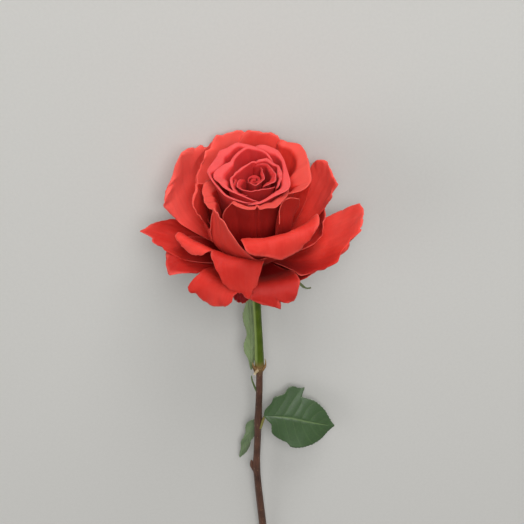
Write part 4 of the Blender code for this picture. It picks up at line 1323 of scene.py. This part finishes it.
@dataclass
class Stalk:
    """The green stalk with the hip under the bloom and the five sepals turned back from it.

    The profile has heights and radii. A sepal has its azimuth, its path and its width. The stem bends
    into its line, and its ribs set in, between the stated depths under the bloom.
    """

    sides: int = 32
    rows: int = 120
    sepal_wall: float = 0.7
    sepal_seed: int = 60
    sepal_grid: tuple = (16, 36)
    route_places: int = 100
    root_bend: tuple = (3.0, 23.0)
    ribs_from: tuple = (12.0, 22.0)
    profile: tuple = (
        (-3.3, 5.0), (-5.0, 5.6), (-8.0, 5.4), (-12.0, 4.0), (-17.0, 2.7), (-26.0, 2.1), (-40.0, 2.05),
        (-55.0, 2.2), (-64.0, 2.4), (STALK_END, 2.5))
    sepals: tuple = (
        (75, ((4, -6), (10, -6), (17, -9), (22.5, -15), (24.8, -17), (26.8, -15.5)), 3.0),
        (-22, ((4, -6), (9, -7), (13, -10), (15, -14), (15.5, -19)), 10.0),
        (-100, ((4, -6), (10, -6.5), (16, -9), (20, -15), (21, -22)), 6.5),
        (-165, ((4, -6), (9, -7), (12, -11), (13, -18), (13, -24)), 6.0),
        (138, ((4, -6), (9, -7), (12, -10), (14, -16), (14, -22)), 6.0),
    )

    def build(self) -> list[Any]:
        """Build the stalk and its sepals.

        Returns:
            The new pieces.
        """
        pieces = [self._stem()]
        materials = LeafFinish("sepal", "#4f5f33", "#3a3a26", "#6f7a4a", "#7d8a5c", roughness=0.5,
                               vein_pairs=6.0).materials()
        for index, (azimuth, path, width) in enumerate(self.sepals):
            sepal = Petal(f"sepal_{index}", azimuth, width, path, cup=(1.0, 0.6, 0.4), claw=0.8, widest=0.3,
                          square=1.1, ruffle=0.3, ragged=0.0, press=1.0, seed=self.sepal_seed + index,
                          curl=0.0, crease=0.05)
            work = sepal.sheet(*self.sepal_grid, self.sepal_wall / 2.0)
            pieces.append(finished_piece(sepal.name, work, materials, "stalk", self.sepal_wall))
        return pieces

    def _stem(self) -> Any:
        """Build the hip and the stalk as one body.

        Returns:
            The new piece.
        """
        heights, radii = np.array(self.profile[::-1]).T
        dense = np.linspace(heights[0], heights[-1], self.route_places)
        weight = smooth_step(-dense, *self.root_bend)[:, None]
        straight = dense[:, None] * UP
        route = to_floor(straight + (stem_point(dense) - straight) * weight)

        def radius(turn: Array, share: Array) -> Array:
            """Give the stalk's radius, with faint lengthwise ribs that end before the hip.

            Args:
                turn: Place round the stalk, from 0 to 1.
                share: Place along it, from its lower end (0) to the hip (1).

            Returns:
                The radius there.
            """
            height = heights[0] + share * (heights[-1] - heights[0])
            ribs = waves(math.pi * turn, (0.02, 10, 0.0), (0.012, 18, 6.0 * share))
            return np.interp(height, heights, radii) * (1.0 + ribs * smooth_step(-height, *self.ribs_from))

        finish = StemFinish("stalk_skin", "#506414", "#3a4c08", "#7a6038", 0.07, 0.01, pores=0.1,
                            roughness=0.4, painted_lit_side="#8a9c58")
        work = tube_mesh(self.sides, self.rows, route, radius)
        return finished_piece("stalk_stem", work, [finish.material()], "stalk")


@dataclass
class Cane:
    """The brown lower stem with its swollen joints, side bud, dry stub, stipule and cut end.

    Each growth has its radii from root to tip and the places of its middle: height, with the sideways
    and front distances from the cane's line.
    """

    top_radius: float = 1.7
    end_radius: float = 2.15
    sides: int = 32
    rows: int = 260
    route_places: int = 160
    growth_grid: tuple = (16, 24)
    tip_share: float = 0.15
    face_gap: float = 0.05
    joints: tuple = ((STALK_END, 0.75, 3.0), (-108.0, 0.35, 5.0), (-141.0, 0.3, 4.0))
    side_bud: tuple = ((0.9, 1.1, 0.5), ((-145.0, -1.2), (-140.5, -2.5), (-136.5, -2.8)))
    stub: tuple = ((1.2, 1.1, 0.6, 0.8), ((-69.6, -0.4, 1.0), (-71.8, -1.6, 1.6), (-74.2, -2.7, 1.4)))
    bract_right: tuple = ((0.9, 0.6, 0.3, 0.15),
                          ((-71.5, 1.5, 0.8), (-69.0, 2.9, 0.9), (-66.5, 3.3, 0.8), (-64.0, 2.9, 0.6)))
    bract_left: tuple = ((0.9, 0.5, 0.25), ((-70.8, -1.4, 1.4), (-68.0, -2.9, 2.0), (-65.0, -3.6, 2.4)))
    stipule: tuple = ((0.6, 0.5, 0.4, 0.3), ((-87.0, -1.2), (-83.5, -2.6), (-79.0, -3.9), (-76.0, -4.2)))

    def build(self) -> list[Any]:
        """Build the cane and what grows on it.

        Returns:
            The new pieces.
        """
        bark = StemFinish("cane_bark", "#5d3f32", "#3b271e", "#7a6038", 0.965, 1.0, pores=0.35).material()
        dry = StemFinish("dry_wood", "#b9a27c", "#8e7350", "#e0d3b4", 0.6, 1.0, pores=0.0,
                         roughness=0.7).material()
        bract = StemFinish("dry_bract", "#8a6a42", "#5f4630", "#a08a58", 0.5, 1.0, pores=0.0).material()
        green = StemFinish("stipule_skin", "#55683a", "#3e5230", "#6b7a46", pores=0.0).material()
        growths = (("side_bud", self.side_bud, bark), ("stub", self.stub, dry),
                   ("bract_right", self.bract_right, bract), ("bract_left", self.bract_left, bract),
                   ("stipule", self.stipule, green))
        return [self._stem(bark), *(self._growth(*growth) for growth in growths), self._cut_end()]

    def _stem(self, bark: Any) -> Any:
        """Build the cane itself.

        Args:
            bark: Its finish.

        Returns:
            The new piece.
        """
        top = STALK_END - NODE_GAP
        route = to_floor(stem_point(np.linspace(CANE_END, top, self.route_places)))

        def radius(turn: Array, share: Array) -> Array:
            """Give the cane's radius with its joints and its slightly uneven bark.

            Args:
                turn: Place round the cane, from 0 to 1.
                share: Place along it, from the cut (0) to the stalk (1).

            Returns:
                The radius there.
            """
            height = CANE_END + share * (top - CANE_END)
            down = (height - STALK_END) / (CANE_END - STALK_END)
            size = self.top_radius + (self.end_radius - self.top_radius) * down
            for joint, swell, reach in self.joints:
                size = size + swell * np.exp(-((height - joint) / reach) ** 2)
            return size * (1.0 + waves(math.pi * turn, (0.015, 8, 9.0 * share), (0.01, 14, 0.0)))

        work = tube_mesh(self.sides, self.rows, route, radius)
        return finished_piece("cane_stem", work, [bark], "cane")

    def _growth(self, name: str, form: tuple, material: Any) -> Any:
        """Build one small growth beside the cane.

        Args:
            name: The piece's name.
            form: Its radii and places.
            material: Its finish.

        Returns:
            The new piece.
        """
        radii, places = form
        route = rounded_route([to_floor(stem_point(*place)) for place in places], self.growth_grid[1])
        work = tube_mesh(*self.growth_grid, route, tapered(radii, self.tip_share))
        return finished_piece(name, work, [material], "cane")

    def _cut_end(self) -> Any:
        """Build the pale wood face of the cut end.

        Returns:
            The new piece.
        """
        centre = to_floor(stem_point(CANE_END))
        tangent = centre - to_floor(stem_point(CANE_END + 1.0))
        tangent /= np.linalg.norm(tangent)
        work = bmesh.new()
        bmesh.ops.create_circle(work, cap_ends=True, cap_tris=False, segments=self.sides, radius=1.0)
        map_surface(work)
        bmesh.ops.scale(work, vec=Vector((self.end_radius, self.end_radius, 1.0)) * MM, verts=work.verts)
        turned = Vector(tangent).to_track_quat("Z", "Y").to_matrix()
        bmesh.ops.rotate(work, cent=(0.0, 0.0, 0.0), matrix=turned, verts=work.verts)
        bmesh.ops.translate(work, vec=Vector((centre + tangent * self.face_gap) * MM), verts=work.verts)
        return finished_piece("cut_end", work, [CutWoodFinish().material()], "cane")


def followed(points: Sequence[Sequence[float]], share: Array, smoothing: float = 0.0) -> Array:
    """Follow a drawn line by its own length.

    Args:
        points: Places along the line, two numbers each.
        share: Shares of its length.
        smoothing: Share of the length over which its corners are rounded off.

    Returns:
        The places at those shares.
    """
    line = rounded_route(points, 4 * STATIONS)
    run = np.append(0.0, np.cumsum(np.linalg.norm(np.diff(line, axis=0), axis=1)))
    even = np.linspace(0.0, run[-1], STATIONS)
    columns = [np.interp(even, run, column) for column in line.T]
    if smoothing:
        reach = int(smoothing * STATIONS / 2)
        kernel = np.hanning(2 * reach + 3)[1:-1]
        columns = [np.convolve(np.pad(column, reach, mode="reflect", reflect_type="odd"),
                               kernel / kernel.sum(), "valid") for column in columns]
    return np.stack([np.interp(share * run[-1], even, column) for column in columns], -1)


@dataclass
class Leaf:
    """One toothed leaf in the floor's frame, with its relief of veins and its short stalk.

    The midrib and the two margins are drawn in the leaf's own plane: millimetres along the line from
    base to tip, and across it. The fold is its slope away from the midrib, the droop is its bow as a
    share of its length, and the wave is in millimetres. Its teeth are full size where it is wide enough.
    """

    name: str
    base: tuple
    tip: tuple
    facing: tuple
    midrib: tuple
    left: tuple
    right: tuple
    fold: float
    droop: float
    wave: float
    teeth: int
    petiole: tuple
    petiole_radii: tuple
    finish: LeafFinish
    petiole_colour: str
    slot: Slot
    tooth: float = 0.35
    seed: int = 0
    wall: float = 0.4
    columns: int = 56
    rows: int = 170
    vein_sink: float = 0.2
    midrib_width: float = 0.05
    end_inset: float = 0.004
    petiole_grid: tuple = (16, 32)
    line_smoothing: float = 0.1
    margin_smoothing: float = 0.3
    tooth_lean: float = 0.8
    full_tooth_reach: float = 3.0
    least_reach: float = 0.3

    def points(self, u: Array, v: Array) -> Array:
        """Find the leaf's middle surface.

        Args:
            u: Across, from -1 to 1.
            v: From the base (0) to the tip (1).

        Returns:
            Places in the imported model's frame, in millimetres.
        """
        base, tip, facing = (np.array(place, float) for place in (self.base, self.tip, self.facing))
        length = np.linalg.norm(tip - base)
        along = (tip - base) / length
        facing -= along * np.dot(facing, along)
        facing /= np.linalg.norm(facing)
        side = np.cross(along, facing)
        middle = followed(self.midrib, v, self.line_smoothing)
        saw = ((v * self.teeth) % 1.0 - 0.5)[..., None]
        flat = middle.copy()
        for margin, share in ((self.left, np.clip(-u, 0.0, 1.0)), (self.right, np.clip(u, 0.0, 1.0))):
            calm = followed(margin, v, self.margin_smoothing)
            away = calm - middle
            reach = np.linalg.norm(away, axis=-1)
            outward = away / np.maximum(reach, self.least_reach)[..., None]
            near = (share ** 10 * np.clip(reach / self.full_tooth_reach, 0.0, 1.0))[..., None]
            flat += away * share[..., None] + (followed(margin, v) - calm) * share[..., None] ** 5
            flat += self.tooth * near * saw * (outward + np.array([self.tooth_lean, 0.0]))
        reach = np.linalg.norm(flat - middle, axis=-1)
        bend = -self.fold * reach - self.droop * 4.0 * v * (v - 1.0) * length
        bend = bend + self.wave * np.abs(u) ** 2 * np.sin(2.0 * math.pi * (1.7 * v + 0.13 * self.seed) + u)
        bend = bend + self._relief(u, v)
        return base + along * flat[..., :1] + side * flat[..., 1:] + facing * bend[..., None] + ROW_SHIFT

    def _relief(self, u: Array, v: Array) -> Array:
        """Sink the midrib and side veins, and let the blade swell between them.

        Args:
            u: Across, from -1 to 1.
            v: From the base (0) to the tip (1).

        Returns:
            How far each point stands out, in millimetres.
        """
        lane = v * self.finish.vein_pairs - self.finish.vein_climb * np.abs(u)
        swell = np.abs(np.sin(math.pi * lane)) * (1.0 - np.abs(u) ** 4) * np.sin(math.pi * v)
        groove = np.exp(-(u / self.midrib_width) ** 2)
        return self.vein_sink * (swell * (1.0 - groove) - groove)

    def build(self) -> list[Any]:
        """Build the blade and its stalk.

        Returns:
            The new pieces.
        """
        work = sheet_mesh(self.columns, self.rows,
                          lambda u, v: self.points(u, self.end_inset + (1.0 - 2.0 * self.end_inset) * v))
        blade = finished_piece(f"{self.name}_blade", work, self.finish.materials(), self.name,
                               self.wall)
        route = rounded_route(np.array(self.petiole) + ROW_SHIFT, self.petiole_grid[1])
        skin = StemFinish(f"{self.name}_petiole_skin", self.petiole_colour, "#6a5a34", "#7a7a46", pores=0.0)
        stalk = tube_mesh(*self.petiole_grid, route, tapered(self.petiole_radii))
        return [blade, finished_piece(f"{self.name}_petiole", stalk, [skin.material()], self.name)]


def leaves() -> list[Leaf]:
    """Set out the leaf spread to the right, the one hanging at the left and the one beside the stalk.

    Returns:
        The three leaves.
    """
    dark = LeafFinish("dark_leaf", "#3f5836", "#2b431f", "#647a4c", "#7b8c62")
    small = LeafFinish("small_leaf", "#4e6342", "#385030", "#76866a", "#7d8f68", vein_pairs=7.0)
    pale = LeafFinish("pale_leaf", "#84956a", "#6f8155", "#a5b184", "#5b7043", roughness=0.6, vein_pairs=7.0)
    return [
        Leaf("leaf_right", (4.4, -102.6, 13.6), (41.8, -114.9, 9.0), (0.0, 0.35, 1.0),
            midrib=((-0.4, 2.0), (12.6, 0.1), (23.0, 0.1), (34.2, 0.3), (40.0, 0.1)),
            left=((-0.4, 1.8), (-0.8, -1.3), (1.2, -5.9), (1.8, -9.4), (4.4, -10.9), (7.0, -12.5),
                  (7.8, -14.9), (9.0, -16.6), (11.4, -17.4), (14.1, -17.0), (17.4, -17.6), (16.0, -15.2),
                  (14.9, -12.8), (19.4, -12.5), (25.2, -11.7), (31.6, -7.9), (37.4, -2.0), (40.0, 0.1)),
            right=((-0.4, 2.2), (2.5, 4.4), (5.0, 6.0), (6.4, 10.4), (9.4, 12.4), (12.9, 13.5), (15.9, 14.1),
                   (18.8, 15.9), (23.6, 15.3), (29.5, 12.7), (32.9, 10.3), (35.4, 7.4), (37.4, 3.5),
                   (40.0, 0.1)), fold=0.05, droop=0.05, wave=0.9, teeth=30, seed=1,
            petiole=((1.5, -113.0, 13.8), (2.5, -109.4, 14.3), (3.3, -106.4, 14.2), (4.2, -104.9, 13.9),
                     (6.6, -104.3, 13.7)), petiole_radii=(0.8, 0.75, 0.7, 0.65, 0.4), finish=dark,
            petiole_colour="#868a44", slot=Slot.LEAF),
        Leaf("leaf_left", (-2.6, -105.0, 10.4), (-10.4, -138.9, 4.4), (0.25, 0.45, 1.0),
            midrib=((4.7, -4.4), (13.8, -2.7), (22.2, -1.8), (29.8, -1.7), (36.7, -0.6)),
            left=((4.4, -4.5), (5.0, -2.6), (6.7, -0.3), (10.9, 1.0), (15.0, 0.5), (18.2, -0.2), (24.2, 1.2),
                  (28.3, 0.3), (32.5, -0.3), (36.7, -0.6)),
            right=((4.6, -4.3), (6.3, -4.9), (11.9, -5.7), (17.7, -5.6), (21.6, -4.5), (23.7, -4.1),
                   (26.2, -4.6), (30.4, -4.7), (33.4, -4.0), (35.3, -2.4), (36.7, -0.6)), fold=0.15,
            droop=-0.02, wave=0.9, teeth=16, seed=2,
            petiole=((-0.6, -105.5, 12.9), (0.6, -107.3, 11.9), (1.2, -109.2, 10.7), (0.7, -111.0, 9.4)),
            petiole_radii=(0.5, 0.5, 0.45, 0.35), finish=small, petiole_colour="#7d7a46", slot=Slot.LEAF,
            tooth=0.25, columns=32, rows=110),
        Leaf("leaf_upper", (-2.8, -72.0, 14.4), (-2.6, -32.0, 11.5), (0.1, 0.2, 1.0),
            midrib=((-2.1, -0.3), (9.3, -0.6), (21.2, -0.7), (31.8, -1.2), (40.5, -2.0)),
            left=((-2.1, -0.5), (-0.4, -1.0), (3.4, -1.7), (6.5, -3.0), (8.9, -4.1), (12.5, -4.4),
                  (14.9, -4.1), (19.0, -3.0), (22.5, -3.2), (26.1, -4.3), (29.6, -4.9), (32.0, -4.7),
                  (36.5, -3.2), (40.5, -2.0)),
            right=((-2.1, -0.1), (6.2, 1.7), (15.2, 2.4), (24.0, 2.6), (31.6, 2.1), (37.5, 0.6),
                   (40.5, -2.0)), fold=-0.1, droop=0.02, wave=0.8, teeth=20, seed=3,
            petiole=((-0.6, -77.0, 14.6), (-1.6, -74.5, 14.5), (-2.8, -71.0, 14.35)),
            petiole_radii=(0.5, 0.5, 0.45), finish=pale, petiole_colour="#7c6240", slot=Slot.PALE_LEAF,
            tooth=0.3, columns=32, rows=120),
    ]


@dataclass
class Studio:
    """Pale floor, soft lights and the camera, at the photograph's viewing angle.

    The camera stands in front of and above the bloom, as it did before the flower was laid down. Each
    light has its direction from the bloom, in the bloom's frame, and its power in watts. The floor, the
    lights and the camera's far limit are in metres, and the camera's distance is in millimetres.
    """

    elevation: float = 45.0
    distance: float = 600.0
    mm_per_pixel: float = 0.49
    frame_pixels: int = 524
    base_pixel: tuple = (257.0, 255.0)
    middle_pixel: float = 262.0
    sensor: float = 36.0
    far_limit: float = 50.0
    floor_size: float = 6.0
    floor_gap: float = 0.0001
    lights: tuple = (("front_light", (0.12, -0.7, 0.71), 26.5), ("top_light", (0.17, 0.0, 0.98), 26.0),
                     ("side_light", (-0.86, -0.5, 0.09), 8.0))
    light_size: float = 1.1
    light_away: float = 2.0
    light_colour: str = "#fdfdff"
    room_colour: str = "#e2e2e2"
    room_strength: float = 0.38

    def build(self) -> None:
        """Set up the floor, the lights, the world and the camera."""
        self._floor()
        for name, toward, power in self.lights:
            self._light(name, toward, power)
        self._world()
        self._camera()
        bpy.context.scene.view_settings.view_transform = "Standard"

    def _floor(self) -> None:
        """Lay the floor just under the flower."""
        work = bmesh.new()
        bmesh.ops.create_grid(work, x_segments=2, y_segments=2, size=self.floor_size / 2.0)
        bmesh.ops.translate(work, vec=(0.0, 0.0, -self.floor_gap), verts=work.verts)
        mesh_object("floor", work, [MattFloorFinish().material()])

    def _light(self, name: str, toward: tuple, power: float) -> None:
        """Add one soft square light that faces the bloom.

        Args:
            name: The light's name.
            toward: Its direction from the bloom, in the bloom's frame.
            power: Its power in watts.
        """
        light = bpy.data.lights.new(name, "AREA")
        light.size = self.light_size
        light.energy = power
        light.color = srgb(self.light_colour)[:3]
        lamp = new_object(name, light)
        direction = Vector(turn_to_floor(toward)).normalized()
        lamp.location = direction * self.light_away
        lamp.rotation_mode = "QUATERNION"
        lamp.rotation_quaternion = direction.to_track_quat("Z", "Y")

    def _world(self) -> None:
        """Give the room's even, pale light."""
        world = bpy.data.worlds.new("room")
        world.use_nodes = True
        fill_node(world.node_tree, world.node_tree.nodes["Background"], {
            "Color": srgb(self.room_colour), "Strength": self.room_strength})
        bpy.context.scene.world = world

    def _camera(self) -> None:
        """Place the camera so that the petals' base falls on its pixel."""
        elevation = math.radians(self.elevation)
        toward = turn_to_floor((0.0, -math.cos(elevation), math.sin(elevation)))
        upward = turn_to_floor((0.0, math.sin(elevation), math.cos(elevation)))
        right = np.array([1.0, 0.0, 0.0])
        aim = to_floor((0.0, 0.0, 0.0))
        aim = aim + right * (self.middle_pixel - self.base_pixel[0]) * self.mm_per_pixel
        aim = aim + upward * (self.base_pixel[1] - self.middle_pixel) * self.mm_per_pixel
        camera = bpy.data.cameras.new("camera")
        camera.sensor_width = self.sensor
        camera.lens = self.sensor * self.distance / (self.frame_pixels * self.mm_per_pixel)
        camera.clip_end = self.far_limit
        viewer = new_object("camera", camera)
        turned = Matrix((right, upward, toward)).transposed().to_4x4()
        viewer.matrix_world = Matrix.Translation(Vector((aim + toward * self.distance) * MM)) @ turned
        bpy.context.scene.camera = viewer


def write_sizes() -> None:
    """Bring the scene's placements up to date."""
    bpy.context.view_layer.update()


def main() -> None:
    """Build the flower's sub-assemblies in order, then the studio."""
    logging.basicConfig(level=logging.INFO, format="%(message)s")
    for assembly in (Bloom(), Stalk(), Cane(), *leaves()):
        for piece in assembly.build():
            logging.info("%s: %s, %d faces", type(assembly).__name__, piece.name, len(piece.data.polygons))
    Studio().build()
    write_sizes()


if __name__ == "__main__":
    main()
